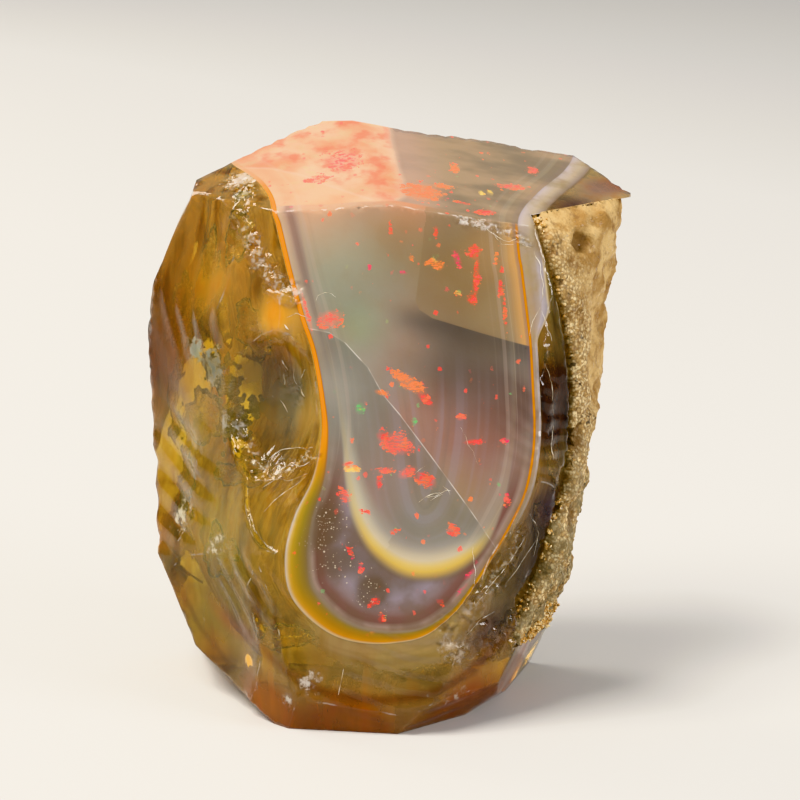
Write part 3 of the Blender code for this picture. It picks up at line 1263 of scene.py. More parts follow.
def store_growth(mesh: Mesh, points: Array, growth: Growth) -> None:
    """Stores on a mesh what the opal finish reads.

    Args:
        mesh: The mesh.
        points: Its vertices, in millimetres.
        growth: How the opal grew.
    """
    marks = growth.measure(points)
    for name, values in marks.items():
        mark(mesh, name, np.clip(values, -FAR, FAR))
    depth = growth.behind_front(points)
    mark(mesh, "depth", depth)
    mark(mesh, "below_top", growth.below_top(points))
    mark(mesh, "front", rise(depth, 0.45, 0.28))
    mark(mesh, "ridge", growth.ridge.offset(points))
    mark(mesh, "scar", growth.scar.offset(points))
    for name, line in (("parting", growth.parting), ("crease", growth.crease)):
        mark(mesh, name, beside(np.array(line), points[:, 0], points[:, 1])[0])
    mark(mesh, "heart_tint", blended(points, tone(142, 132, 120), HEART_CLOUDS))
    mark(mesh, "amber_tint", blended(points, tone(242, 216, 136), AMBER_CLOUDS))
    mark(mesh, "veil_and_glint_tint", blended(points, tone(206, 192, 172), VEILS_AND_GLINT))
    for name, patches in (("veil_and_glint", VEILS_AND_GLINT), ("bubbles", BUBBLES), ("glow", GLOWS)):
        mark(mesh, name, strongest(points, patches))
    below = rise(marks["outside"], 2.3, 0.3) * rise(points[:, 2], 7.5, 4.5)
    mark(mesh, "haze", 0.85 * below * rise(points[:, 0], -5.0, -2.0))
    fog_width = 0.25 + 0.75 * rise(points[:, 2], 16.2, 17.8)
    mark(mesh, "fog", np.clip(marks["outside"] / fog_width, -FAR, FAR))
    closeness = np.array([fleck.closeness(points) for fleck in FLECKS])
    chosen = closeness.argmax(0)
    mark(mesh, "fire", np.clip(closeness.max(0), -1.0, 1.0))
    palette = np.array([fleck.colour.value[:3] for fleck in FLECKS])
    mark(mesh, "fire_tone", palette[chosen])


def blended(points: Array, ground: Colour, patches: tuple[Cloud, ...]) -> Array:
    """A ground colour with soft patches over it.

    Args:
        points: Where, in millimetres.
        ground: The colour between the patches.
        patches: The patches.

    Returns:
        One row of red, green and blue a point.
    """
    shares = np.array([patch.share(points) for patch in patches])
    total = shares.sum(0)
    colours = np.array([patch.colour[:3] for patch in patches])
    mixed = (shares.T @ colours) / np.maximum(total, 1e-9)[:, None]
    cover = np.clip(total, 0.0, 1.0)[:, None]
    return cover * mixed + (1 - cover) * np.array(ground[:3])


@dataclass
class MilkyHeart(Piece):
    """The heart's side walls, which show through the clear amber beside and behind them."""

    growth: Growth
    inset: float = 0.22
    stations: int = 12
    overhang: float = 3.0
    reach: float = 13.5
    grid: float = 0.34
    edge: float = 0.6
    halvings: int = 5

    def walls(self) -> BMesh:
        """Carries the outer growth line back into the stone along its bulging walls.

        Returns:
            The heart as a closed shape, which still reaches out of the stone.
        """
        line = self.growth.outer.traced()[::3, :2]
        ahead = np.gradient(line, axis=0)
        ahead /= np.linalg.norm(ahead, axis=1)[:, None]
        aside = np.column_stack([ahead[:, 1], -ahead[:, 0]])
        bm = bmesh.new()
        rings = []
        y, z, lean = self.growth.front_at
        for depth in np.linspace(-self.overhang, self.reach, self.stations):
            shift = float(self.growth.wall_shift(np.array([max(depth, 0.0)]))[0]) - 0.02
            outline = line + aside * shift
            ring = [bm.verts.new(Vector((a, y + lean * (b - z) + depth, b)) * MM) for a, b in outline]
            rings.append([bm.edges.new(pair) for pair in zip(ring, ring[1:] + ring[:1])])
        for near, far in zip(rings, rings[1:]):
            bmesh.ops.bridge_loops(bm, edges=near + far)
        bmesh.ops.edgenet_fill(bm, edges=rings[0])
        bmesh.ops.edgenet_fill(bm, edges=rings[-1])
        bmesh.ops.triangulate(bm, faces=bm.faces[:])
        bmesh.ops.recalc_face_normals(bm, faces=bm.faces[:])
        return bm

    def build(self, node: Object) -> Object:
        """Makes the heart just inside the stone's surface.

        Args:
            node: The stone's solid.

        Returns:
            The heart.
        """
        inner = new_piece("heart_limit", merged_copy(node))
        grid = inner.modifiers.new("grid", "REMESH")
        grid.mode = "VOXEL"
        grid.voxel_size = self.grid * MM
        shrink = inner.modifiers.new("shrink", "DISPLACE")
        shrink.strength = -self.inset * MM
        shrink.mid_level = 0.0
        self.piece = new_piece("milky_heart", self.walls())
        cut = self.piece.modifiers.new("cut", "BOOLEAN")
        cut.operation = "INTERSECT"
        cut.solver = "MANIFOLD"
        cut.object = inner
        settled(self.piece)
        bpy.data.objects.remove(inner)
        bm = bmesh.new()
        bm.from_mesh(self.piece.data)
        bmesh.ops.triangulate(bm, faces=bm.faces[:])
        refine(bm, lambda points: np.full(len(points), self.edge), self.halvings)
        bm.to_mesh(self.piece.data)
        bm.free()
        self.piece.data.shade_smooth()
        return self.piece

    def dress(self) -> None:
        """Stores the growth marks on the heart and gives it the milky finish."""
        mesh = self.piece.data
        store_growth(mesh, positions(mesh), self.growth)
        self.wear(HeartFinish().material())


@dataclass(frozen=True)
class GrowthColours:
    """The colours of the growth bands, laid over the stone's own tint."""

    rim: Colour = tone(184, 172, 160)
    orange: Colour = tone(222, 138, 6)
    deep_orange: Colour = tone(180, 114, 18)
    gold: Colour = tone(170, 138, 48)
    olive: Colour = tone(142, 122, 48)
    lemon: Colour = tone(200, 170, 88)
    cream: Colour = tone(194, 180, 152)
    umber: Colour = tone(106, 86, 68)
    blush: Colour = tone(184, 164, 150)
    mauve: Colour = tone(118, 98, 98)
    lavender: Colour = tone(150, 144, 156)

    def banded(self, graph: Graph) -> Socket:
        """The heart's colour: its tint, its layers and its two bands.

        Args:
            graph: The material under construction.

        Returns:
            The colour, which also holds for the clear stone outside the bands.
        """
        low = graph.rise(graph.height(), 13.2, 9.5)
        colour = self.milk(graph)
        colour = self.between(graph, colour, low)
        colour = self.crescent(graph, colour)
        return self.outer_band(graph, colour, low)

    def milk(self, graph: Graph) -> Socket:
        """The milky ground: its tint, the facets of the break with painted shade on the facet above the scar
        and under the scar, and fine layers beside the wall.

        Args:
            graph: The material under construction.

        Returns:
            The colour.
        """
        outside, within = graph.attribute("outside"), graph.attribute("within")
        tint = graph.attribute("heart_tint", "Color")
        mottle = graph.rise(graph.noise(1.6, 3.0), 0.35, 0.7, 0.0, 0.4)
        base = graph.mix(mottle, tint, self.blush, "SOFT_LIGHT")
        front = graph.attribute("front")
        # Painted shade: the facet above the scar is tinted brownish-olive for its tilt.
        shaded_facet = graph.times(graph.step("scar", 0.03, -0.03, 0.0, 0.5), front)
        base = graph.mix(shaded_facet, base, tone(130, 110, 82))
        golden = graph.times(shaded_facet, graph.rise(outside, -0.9, -0.15, 0.0, 1.4))
        base = graph.mix(golden, base, tone(206, 156, 92))
        shadow = graph.times(
            graph.step("scar", -0.02, 0.02), front, graph.step("scar", 1.7, 0.0, 0.0, 0.75),
            graph.rise(graph.height(), 18.2, 17.0),
        )
        base = graph.mix(shadow, base, tone(84, 78, 74))
        below = graph.times(graph.step("ridge", -0.02, 0.03, 0.0, 0.45), front)
        base = graph.mix(below, base, tone(112, 116, 108))
        base = graph.mix(self.top(graph), base, self.top_tint(graph))
        arcs = graph.layers(within, 1.5, 2.0)
        inner = graph.times(graph.rise(within, -0.4, -1.2), graph.rise(graph.height(), 16.5, 12.5))
        base = graph.mix(graph.times(graph.rise(arcs, 0.48, 0.64, 0.0, 0.22), inner), base, self.lavender)
        base = graph.mix(graph.times(graph.rise(arcs, 0.48, 0.32, 0.0, 0.3), inner), base, tone(104, 98, 92))
        lines = graph.layers(outside, 3.0, 3.0)
        off_top = graph.rise(self.top(graph), 1.0, 0.0, 0.35, 1.0)
        near = graph.times(graph.rise(outside, -1.8, -0.3), graph.rise(outside, 0.1, -0.1), off_top)
        base = graph.mix(graph.times(graph.rise(lines, 0.52, 0.64, 0.0, 0.5), near), base, self.blush)
        base = graph.mix(graph.times(graph.rise(lines, 0.48, 0.36, 0.0, 0.5), near), base, self.mauve)
        return self.lining(graph, base)

    def lining(self, graph: Graph, base: Socket) -> Socket:
        """Lays the blush and the dark mauve layers beside the left wall, high on the stone.

        Args:
            graph: The material under construction.
            base: The colour below them.

        Returns:
            The colour.
        """
        outside = graph.attribute("outside")
        layers = graph.ramp(
            outside,
            ((-1.3, tone(150, 142, 130)), (-0.95, tone(152, 134, 124)), (-0.76, tone(124, 98, 92)),
             (-0.62, tone(132, 104, 96)), (-0.48, tone(168, 142, 124)), (-0.28, tone(190, 164, 136))),
            -1.4, -0.2,
        )
        off_top = graph.rise(self.top(graph), 1.0, 0.0, 0.15, 0.7)
        shown = graph.times(graph.step("along", 0.27, 0.11), graph.rise(outside, -1.3, -0.7), off_top)
        return graph.mix(shown, base, layers)

    def top(self, graph: Graph) -> Socket:
        """Where the stone's top face is, with a wavy skin just under it.

        Args:
            graph: The material under construction.

        Returns:
            1 on the top face, 0 away from it.
        """
        behind = graph.step("depth", 0.3, 0.5)
        below = graph.plus(graph.attribute("below_top"), graph.tally(graph.noise(1.8, 3.0), 1.8, -0.9))
        return graph.times(behind, graph.rise(below, 1.7, 0.7))

    def top_tint(self, graph: Graph) -> Socket:
        """The top face: peach left of its parting, grey-brown right of it and a pale line between, with
        painted light along the crease.

        Args:
            graph: The material under construction.

        Returns:
            The colour.
        """
        parting, crease = graph.attribute("parting"), graph.attribute("crease")
        soft = graph.noise(2.6, 3.0)
        left = graph.mix(graph.rise(soft, 0.36, 0.64), tone(230, 190, 152), tone(216, 150, 108))
        mottle = graph.noise(1.0, 3.0)
        coral = graph.times(graph.rise(mottle, 0.46, 0.66, 0.0, 0.7), graph.rise(crease, 0.0, 0.7))
        left = graph.mix(coral, left, tone(220, 116, 80))
        left = graph.mix(graph.rise(mottle, 0.44, 0.32, 0.0, 0.5), left, tone(186, 162, 126))
        # Painted light on the crease: one side of it lighter, and a pale highlight line along it.
        left = graph.mix(graph.rise(crease, 0.03, -0.03, 0.0, 0.45), left, tone(236, 190, 144))
        left = graph.mix(graph.rise(graph.away(crease), 0.16, 0.0, 0.0, 0.35), left, tone(240, 204, 172))
        streak = graph.noise(1.6, 3.0, graph.stretched((0.5, 1.0, 1.0), (0.0, 0.0, 12.0)))
        right = graph.mix(graph.rise(streak, 0.36, 0.64), tone(120, 106, 86), tone(148, 126, 100))
        right = graph.mix(graph.rise(parting, 2.6, 0.5, 0.0, 0.65), right, tone(170, 140, 122))
        wavy = graph.plus(parting, graph.tally(graph.noise(1.4, 2.0), 0.3, -0.15))
        both = graph.mix(graph.rise(wavy, -0.10, 0.16), left, right)
        line = graph.rise(graph.away(wavy), 0.36, 0.02, 0.0, 0.3)
        return graph.mix(line, both, tone(224, 188, 162))

    def between(self, graph: Graph, base: Socket, low: Socket) -> Socket:
        """Lays the dark arcs between the two bands, low on the stone.

        Args:
            graph: The material under construction.
            base: The colour below them.
            low: Where the stone is low enough, 0 to 1.

        Returns:
            The colour.
        """
        shade = graph.ramp(
            graph.attribute("past"),
            ((-4.0, tone(116, 104, 92)), (-3.2, tone(108, 96, 84)), (-2.4, tone(116, 102, 100)),
             (-1.9, tone(122, 110, 110)), (-1.4, tone(142, 130, 138)), (-0.95, tone(132, 114, 114)),
             (-0.62, tone(120, 88, 80)), (-0.40, tone(114, 80, 72)), (-0.22, tone(148, 126, 114)),
             (-0.04, tone(138, 114, 90))),
            -4.2, 0.0,
        )
        shade = graph.mix(graph.rise(graph.noise(1.3, 3.0), 0.42, 0.62, 0.0, 0.5), shade, self.umber)
        brown = graph.times(graph.step("bubbles", 0.1, 0.8), 0.75)
        shade = graph.mix(brown, shade, tone(94, 76, 54))
        shown = graph.times(graph.step("band", 0.9, 1.3), graph.step("rim", 0.10, -0.16), low, 0.94)
        return graph.mix(shown, base, shade)

    def crescent(self, graph: Graph, base: Socket) -> Socket:
        """Lays the inner, cream and yellow band.

        Args:
            graph: The material under construction.
            base: The colour below it.

        Returns:
            The colour.
        """
        rim = graph.attribute("rim")
        band = graph.ramp(
            rim,
            ((-0.18, self.umber), (-0.06, tone(138, 116, 84)), (0.06, tone(176, 148, 88)), (0.16, self.lemon),
             (0.30, tone(204, 180, 112)), (0.46, self.cream), (0.64, tone(180, 168, 148)),
             (0.88, tone(154, 148, 140)), (1.2, tone(136, 132, 128))),
            -0.24, 1.5,
        )
        band = graph.mix(graph.rise(graph.height(), 7.6, 10.4, 0.0, 0.7), band, tone(180, 174, 154))
        shown = graph.times(graph.rise(rim, -0.24, 0.06), graph.rise(rim, 1.5, 0.55))
        left = graph.rise(graph.height(), 14.5, 9.5, 0.12, 0.95)
        right = graph.rise(graph.height(), 9.3, 7.2, 0.10, 1.0)
        side = graph.step("along", 0.50, 0.60)
        limb = graph.plus(left, graph.times(side, graph.minus(right, left)))
        return graph.mix(graph.times(shown, limb), base, band)

    def outer_band(self, graph: Graph, base: Socket, low: Socket) -> Socket:
        """Lays the outer, orange band: a thin line high up, and broad and gold low down.

        Args:
            graph: The material under construction.
            base: The colour below it.
            low: Where the stone is low enough for the broad band, 0 to 1.

        Returns:
            The colour.
        """
        band = graph.attribute("band")
        wide = graph.ramp(
            band,
            ((-0.05, tone(146, 130, 108)), (0.04, self.rim), (0.16, tone(188, 158, 84)), (0.3, self.gold),
             (0.55, self.olive), (0.8, tone(130, 110, 60)), (1.05, tone(118, 100, 74))),
            -0.10, 1.2,
        )
        glow = graph.ramp(
            band,
            ((-0.05, tone(146, 130, 108)), (0.06, tone(184, 158, 116)), (0.2, tone(182, 124, 24)),
             (0.5, tone(156, 112, 24)), (0.8, tone(140, 114, 46)), (1.0, tone(134, 116, 86))),
            -0.10, 1.2,
        )
        wide = graph.mix(graph.step("along", 0.36, 0.47), wide, glow)
        narrow = graph.ramp(
            band,
            ((0.0, self.deep_orange), (0.3, self.orange), (0.75, self.orange), (1.0, self.deep_orange)),
            0.0, 1.1,
        )
        along = graph.attribute("along")
        narrow = graph.mix(graph.rise(along, 0.52, 0.64, 0.0, 0.85), narrow, self.deep_orange)
        stripe = graph.mix(graph.times(low, graph.rise(along, 0.66, 0.58)), narrow, wide)
        right_top = graph.times(self.top(graph), graph.rise(along, 0.5, 0.55))
        left_top = graph.times(self.top(graph), graph.step("depth", 1.4, 3.6, 0.0, 0.8))
        whole = graph.minus(1.0, graph.most(right_top, left_top))
        shown = graph.times(graph.rise(band, -0.10, 0.06), graph.rise(band, 1.2, 0.92), whole)
        return graph.mix(shown, base, stripe)

    def fire(self, graph: Graph) -> tuple[Socket, Socket]:
        """The fire in the heart.

        Args:
            graph: The material under construction.

        Returns:
            The fire's colour, and where it shows.
        """
        ragged = graph.noise(0.12, 3.0, rough=0.75)
        lobes = graph.noise(0.42, 2.0)
        strokes = graph.noise(0.25, 3.0, graph.stretched((1.0, 1.0, 3.6), (0.0, 24.0, 0.0)), 0.65)
        near = graph.attribute("fire")
        close = graph.plus(graph.tally(lobes, 3.0, -1.5), graph.plus(near, graph.tally(ragged, 2.4, -1.2)))
        flecks = graph.times(graph.rise(close, -0.02, 0.24), graph.rise(strokes, 0.44, 0.55, 0.05, 1.0))
        halo = graph.rise(near, -0.25, 0.5, 0.0, 0.28)
        cells = graph.cells(0.30, graph.stretched((1.0, 1.0, 0.8), (0.0, 14.0, 0.0)))
        chosen = graph.parts(cells.outputs["Color"])
        crowd = graph.rise(graph.noise(2.2, 2.0), 0.38, 0.60)
        reach = graph.plus(cells.outputs["Distance"], graph.tally(ragged, -0.9, 0.42))
        spot = graph.rise(graph.minus(reach, graph.times(chosen[2], 0.30)), 0.06, -0.06)
        small = graph.times(graph.rise(chosen[0], 0.78, 0.79), crowd, spot, graph.tally(chosen[2], 0.7, 0.1))
        hue = graph.ramp(
            chosen[1],
            ((0.0, Fire.RED.value), (0.45, Fire.CORAL.value), (0.72, Fire.ORANGE.value),
             (0.84, Fire.MAGENTA.value), (0.96, Fire.GREEN.value)),
            0.0, 1.0,
        )
        shown = graph.most(flecks, small, halo)
        warmer = graph.rise(lobes, 0.5, 0.64, 0.0, 0.5)
        large = graph.mix(warmer, graph.attribute("fire_tone", "Color"), Fire.ORANGE.value)
        colour = graph.mix(graph.rise(near, -0.3, -0.1), hue, large)
        inside = graph.step("outside", -0.15, -0.4)
        return colour, graph.times(shown, inside)


@dataclass(frozen=True)
class OpalFinish:
    """Glassy opal: clear amber outside its growth line and milky inside it."""

    colours: GrowthColours = GrowthColours()
    index: float = 1.45
    gloss: float = 0.06
    foot_line: float = 2.3
    depth_colour: Colour = (0.90, 0.81, 0.08, 1.0)
    depth_density: float = 400.0

    def amber(self, graph: Graph, base: Socket) -> tuple[Socket, Socket]:
        """Lays the clear stone's tint, streaks, haze and veils, with one painted golden highlight among the
        veils, over a base.

        Args:
            graph: The material under construction.
            base: The heart's colour.

        Returns:
            The colour, and how much light the stone stops.
        """
        outside = graph.attribute("outside")
        heart = graph.rise(outside, 0.03, -0.03)
        tint = graph.attribute("amber_tint", "Color")
        streak = graph.noise(0.75, 4.0, graph.stretched((1.0, 1.0, 0.16)))
        tint = graph.mix(graph.rise(streak, 0.42, 0.66, 0.0, 0.5), tint, tone(222, 172, 96), "MULTIPLY")
        along = graph.attribute("along")
        right = graph.times(graph.rise(along, 0.60, 0.72), graph.step("fog", 1.05, 0.85))
        haze = graph.most(graph.attribute("haze"), right)
        haze = graph.times(haze, graph.rise(graph.noise(1.1, 3.0), 0.25, 0.6, 0.6, 1.0))
        side = graph.rise(along, 0.56, 0.66)
        strata = graph.layers(outside, 1.4, 2.0)
        fog = graph.mix(graph.rise(strata, 0.40, 0.62), tone(122, 100, 70), tone(156, 130, 92))
        fog = graph.mix(side, fog, self.right_fog(graph))
        # Pale veils, and the painted golden highlight among them.
        veil_and_glint = graph.plus(graph.attribute("veil_and_glint"), graph.tally(graph.noise(0.45, 4.0, rough=0.7), 2.6, -1.75))
        veil_and_glint = graph.rise(veil_and_glint, -0.05, 0.55)
        foot = graph.rise(graph.away(graph.minus(outside, self.foot_line)), 0.38, 0.0, 0.0, 0.75)
        foot = graph.times(foot, graph.rise(graph.height(), 5.6, 3.6))
        tint = graph.mix(foot, graph.mix(haze, tint, fog), tone(126, 66, 20))
        tint = graph.mix(veil_and_glint, tint, graph.attribute("veil_and_glint_tint", "Color"))
        milky = graph.most(graph.times(haze, 0.75), graph.times(veil_and_glint, 0.7), graph.times(foot, 0.45))
        body = graph.plus(graph.rise(streak, 0.36, 0.62, 0.03, 0.22), graph.attribute("glow"))
        stopped = graph.most(milky, body, heart)
        return graph.mix(heart, tint, base), stopped

    def right_fog(self, graph: Graph) -> Socket:
        """The pale layers right of the heart, from beige to lavender with a thin bright line.

        Args:
            graph: The material under construction.

        Returns:
            The colour.
        """
        front = graph.ramp(
            graph.attribute("fog"),
            ((0.0, tone(174, 154, 128)), (0.3, tone(168, 148, 128)), (0.5, tone(176, 160, 148)),
             (0.62, tone(184, 174, 176)), (0.8, tone(170, 160, 162)), (0.88, tone(206, 186, 150)),
             (0.94, tone(120, 92, 70))),
            0.0, 1.0,
        )
        above = graph.ramp(
            graph.attribute("outside"),
            ((-0.2, tone(162, 150, 164)), (0.15, tone(188, 174, 166)), (0.5, tone(184, 166, 140)),
             (0.8, tone(152, 134, 118)), (1.0, tone(112, 86, 64))),
            -0.3, 1.1,
        )
        return graph.mix(self.colours.top(graph), front, above)

    def whitened(self, graph: Graph) -> Socket:
        """Where the stone is splintered or its edge is worn, and looks white, with a painted highlight line
        along the ridge.

        Args:
            graph: The material under construction.

        Returns:
            How white it looks, 0 to 1.
        """
        speckled = graph.rise(graph.noise(0.22, 2.0), 0.44, 0.64)
        pale = graph.times(speckled, graph.step("frost", 0.1, 0.9), 0.65)
        here_and_there = graph.rise(graph.noise(0.6, 3.0), 0.50, 0.62, 0.05, 0.6)
        clean = graph.times(graph.step("outside", 0.1, -0.1), 0.8, graph.step("parting", 0.4, -0.3))
        worn = graph.times(graph.step("edge", 0.07, 0.0), here_and_there, graph.minus(1.0, clean))
        # Painted highlight: a thin, broken pale line along the ridge's crest.
        near = graph.rise(graph.away(graph.attribute("ridge")), 0.035, 0.005)
        broken = graph.rise(graph.noise(0.9, 2.0), 0.38, 0.60, 0.08, 0.6)
        crest = graph.times(near, graph.attribute("front"), broken)
        return graph.most(pale, worn, crest)

    def bubbles(self, graph: Graph) -> Socket:
        """Where the tiny bubbles between the bands are.

        Args:
            graph: The material under construction.

        Returns:
            How much of a bubble shows, 0 to 1.
        """
        cells = graph.cells(0.08)
        chosen = graph.parts(cells.outputs["Color"])
        large = graph.math("POWER", chosen[1], 2.5)
        size = graph.minus(cells.outputs["Distance"], graph.tally(large, 0.42, 0.08))
        some = graph.plus(chosen[0], graph.tally(graph.attribute("bubbles"), 0.60, -0.34))
        shown = graph.times(graph.rise(size, 0.08, -0.04), graph.rise(some, 0.70, 0.78))
        return graph.times(shown, graph.tally(chosen[2], 0.8, 0.2), graph.step("outside", -0.5, -0.8))

    def material(self) -> Material:
        """Builds the material.

        Returns:
            The material.
        """
        graph = Graph("amber and milky opal")
        colour, stopped = self.amber(graph, self.colours.banded(graph))
        colour = graph.mix(self.bubbles(graph), colour, tone(206, 190, 166))
        fire_colour, fire_shown = self.colours.fire(graph)
        colour = graph.mix(fire_shown, colour, fire_colour)
        # The white of splinters and worn edges, and the painted highlight along the ridge.
        white = self.whitened(graph)
        colour = graph.mix(white, colour, tone(222, 214, 206))
        stopped = graph.most(stopped, graph.times(white, 0.8))
        relief = graph.plus(graph.noise(1.4, 1.0), graph.times(graph.noise(0.22, 2.0), 0.17))
        graph.plain(
            Base_Color=colour,
            Roughness=graph.tally(white, 0.3, self.gloss),
            IOR=self.index,
            Transmission_Weight=graph.minus(1.0, stopped),
            Subsurface_Weight=graph.step("outside", 0.03, -0.03, 0.0, 0.35),
            Subsurface_Radius=(1.0, 0.6, 0.4),
            Subsurface_Scale=0.5 * MM,
            # Painted light: the fire glows faintly through emission.
            Emission_Color=fire_colour,
            Emission_Strength=graph.times(fire_shown, 0.22),
            Normal=graph.bump(relief, 0.045, 0.6),
        )
        amber = graph.nodes.new("ShaderNodeVolumeAbsorption")
        amber.inputs["Color"].default_value = self.depth_colour
        amber.inputs["Density"].default_value = self.depth_density
        graph.links.new(amber.outputs[0], graph.nodes["Material Output"].inputs["Volume"])
        return graph.material


@dataclass(frozen=True)
class HeartFinish:
    """The milky heart's walls under the clear stone."""

    colours: GrowthColours = GrowthColours()

    def material(self) -> Material:
        """Builds the material.

        Returns:
            The material.
        """
        graph = Graph("milky heart")
        colour = self.colours.banded(graph)
        wall = graph.step("outside", -0.5, -0.05)
        streak = graph.noise(0.8, 3.0, graph.stretched((1.0, 1.0, 0.14)), 0.6)
        glow = graph.ramp(
            streak,
            ((0.3, tone(120, 84, 30)), (0.45, tone(176, 128, 48)), (0.56, tone(224, 180, 92)),
             (0.68, tone(240, 222, 180))),
            0.25, 0.75,
        )
        colour = graph.mix(graph.times(wall, 0.9), colour, glow)
        graph.plain(Base_Color=colour, Roughness=0.45, IOR=1.45)
        return graph.material


@dataclass
class RockCrust(Piece):
    """The sandy host rock that the opal grew against."""

    opal: Object
    reach: float = 1.25
    sink: float = 0.05
    brink: float = 0.25
    grid: float = 0.13
    grain: float = 0.16
    pits: tuple[tuple[Point, float, float], ...] = (
        ((8.32, -0.4, 20.04), 0.75, 0.45),
        ((8.15, -2.3, 11.9), 0.95, 0.40),
        ((8.1, -2.9, 8.4), 0.9, 0.30),
    )
    seam: Array | None = field(default=None, init=False)

    def contact(self, points: Array, facing: Array) -> tuple[Array, Array]:
        """Grows the side that faces the opal up against it.

        Args:
            points: The rock's vertices, in millimetres.
            facing: Their normals.

        Returns:
            The moved vertices, and how much of each one's way was taken, 0 to 1.
        """
        bm = merged_copy(self.opal)
        tree = BVHTree.FromBMesh(bm)
        bm.free()
        moved, share = points.copy(), np.zeros(len(points))
        for index, (point, normal) in enumerate(zip(points.tolist(), facing.tolist())):
            spot, out, _, far = tree.find_nearest(Vector(point) * MM, self.reach * MM)
            if spot is None:
                continue
            near = min(1.0, max(0.0, (self.reach - far / MM) / self.brink))
            towards = Vector(normal).dot((spot - Vector(point) * MM).normalized())
            share[index] = near * min(1.0, max(0.0, towards / 0.35))
            target = np.array(spot / MM - out * self.sink)
            moved[index] += (target - moved[index]) * share[index]
        return moved, share

    def build(self, node: Object) -> Object:
        """Makes the grainy rock in place of the plain solid, grown up against the opal.

        Args:
            node: The rock's solid.

        Returns:
            The fine piece.
        """
        self.piece = new_piece("rock_crust", merged_copy(node))
        grid = self.piece.modifiers.new("grid", "REMESH")
        grid.mode = "VOXEL"
        grid.voxel_size = self.grid * MM
        settled(self.piece)
        mesh = self.piece.data
        points, inner = self.contact(positions(mesh), outwards(mesh))
        front = rise(points[:, 1] + 0.25 * (points[:, 2] - 12), 2.2, -1.0)
        lumps = 0.14 * clouds(points, 0.9, 2, 2.0) + (0.04 + 0.07 * front) * clouds(points, 0.34, 2, 7.0)
        grains = (0.03 + 0.06 * front) * clouds(points, self.grain, 2, 9.0)
        for middle, reach, depth in self.pits:
            lumps -= depth * rise(np.linalg.norm(points - middle, axis=1), reach, reach * 0.25)
        lift = (lumps + grains) * (1 - inner)
        self.seam = points[(inner > 0.05) & (inner < 0.85) & (front > 0.3)]
        mark(mesh, "lift", lumps + grains)
        mark(mesh, "front", front)
        move_to(mesh, points + outwards(mesh) * lift[:, None])
        mesh.shade_smooth()
        return self.piece

    def dress(self) -> None:
        """Gives the rock its finish."""
        self.wear(RockFinish().material())


@dataclass(frozen=True)
class RockFinish:
    """Golden tan, sandy rock with dark specks."""

    tan: Colour = tone(202, 170, 114)
    pale: Colour = tone(244, 224, 174)
    rust: Colour = tone(156, 118, 62)
    dark: Colour = tone(52, 38, 28)
    green: Colour = tone(116, 108, 78)

    def material(self) -> Material:
        """Builds the material.

        Returns:
            The material.
        """
        graph = Graph("sandy host rock")
        grain = graph.cells(0.13)
        chosen = graph.parts(grain.outputs["Color"])
        front = graph.attribute("front")
        colour = graph.mix(graph.rise(graph.noise(1.1, 5.0), 0.36, 0.62), self.rust, self.tan)
        fine = graph.mix(graph.rise(chosen[0], 0.3, 0.9), graph.mix(0.5, self.rust, self.tan), self.pale)
        fine = graph.mix(graph.rise(grain.outputs["Distance"], 0.40, 0.66, 0.0, 0.7), fine, tone(98, 68, 34))
        colour = graph.mix(graph.times(front, 0.75), colour, fine)
        blotch = graph.rise(graph.noise(0.8, 4.0, rough=0.65), 0.54, 0.66, 0.0, 0.55)
        colour = graph.mix(blotch, colour, tone(120, 84, 44))
        crowd = graph.rise(graph.noise(0.9, 3.0), 0.50, 0.64)
        speck = graph.times(graph.rise(chosen[1], 0.80, 0.82), graph.tally(crowd, 0.85, 0.1))
        colour = graph.mix(graph.times(speck, graph.tally(front, 0.7, 0.2)), colour, self.dark)
        patchy = graph.rise(graph.noise(0.8, 3.0), 0.38, 0.56)
        low = graph.times(graph.rise(graph.height(), 13.0, 8.0), patchy)
        colour = graph.mix(graph.times(low, 0.62), colour, self.green)
        hollow = graph.step("lift", -0.02, -0.24)
        colour = graph.mix(graph.times(hollow, 0.7), colour, tone(104, 72, 32))
        relief = graph.plus(graph.noise(0.08, 3.0), graph.times(grain.outputs["Distance"], -0.8))
        rough = graph.rise(chosen[2], 0.86, 0.9, 0.78, 0.30)
        graph.plain(Base_Color=colour, Roughness=rough, Normal=graph.bump(relief, 0.045, 0.8))
        return graph.material


@dataclass(frozen=True)
class Crack:
    """A thin, curved crack inside the clear stone, which shines like silver."""

    middle: Point
    halves: tuple[float, float]
    facing: Point
    bend: float = 0.2


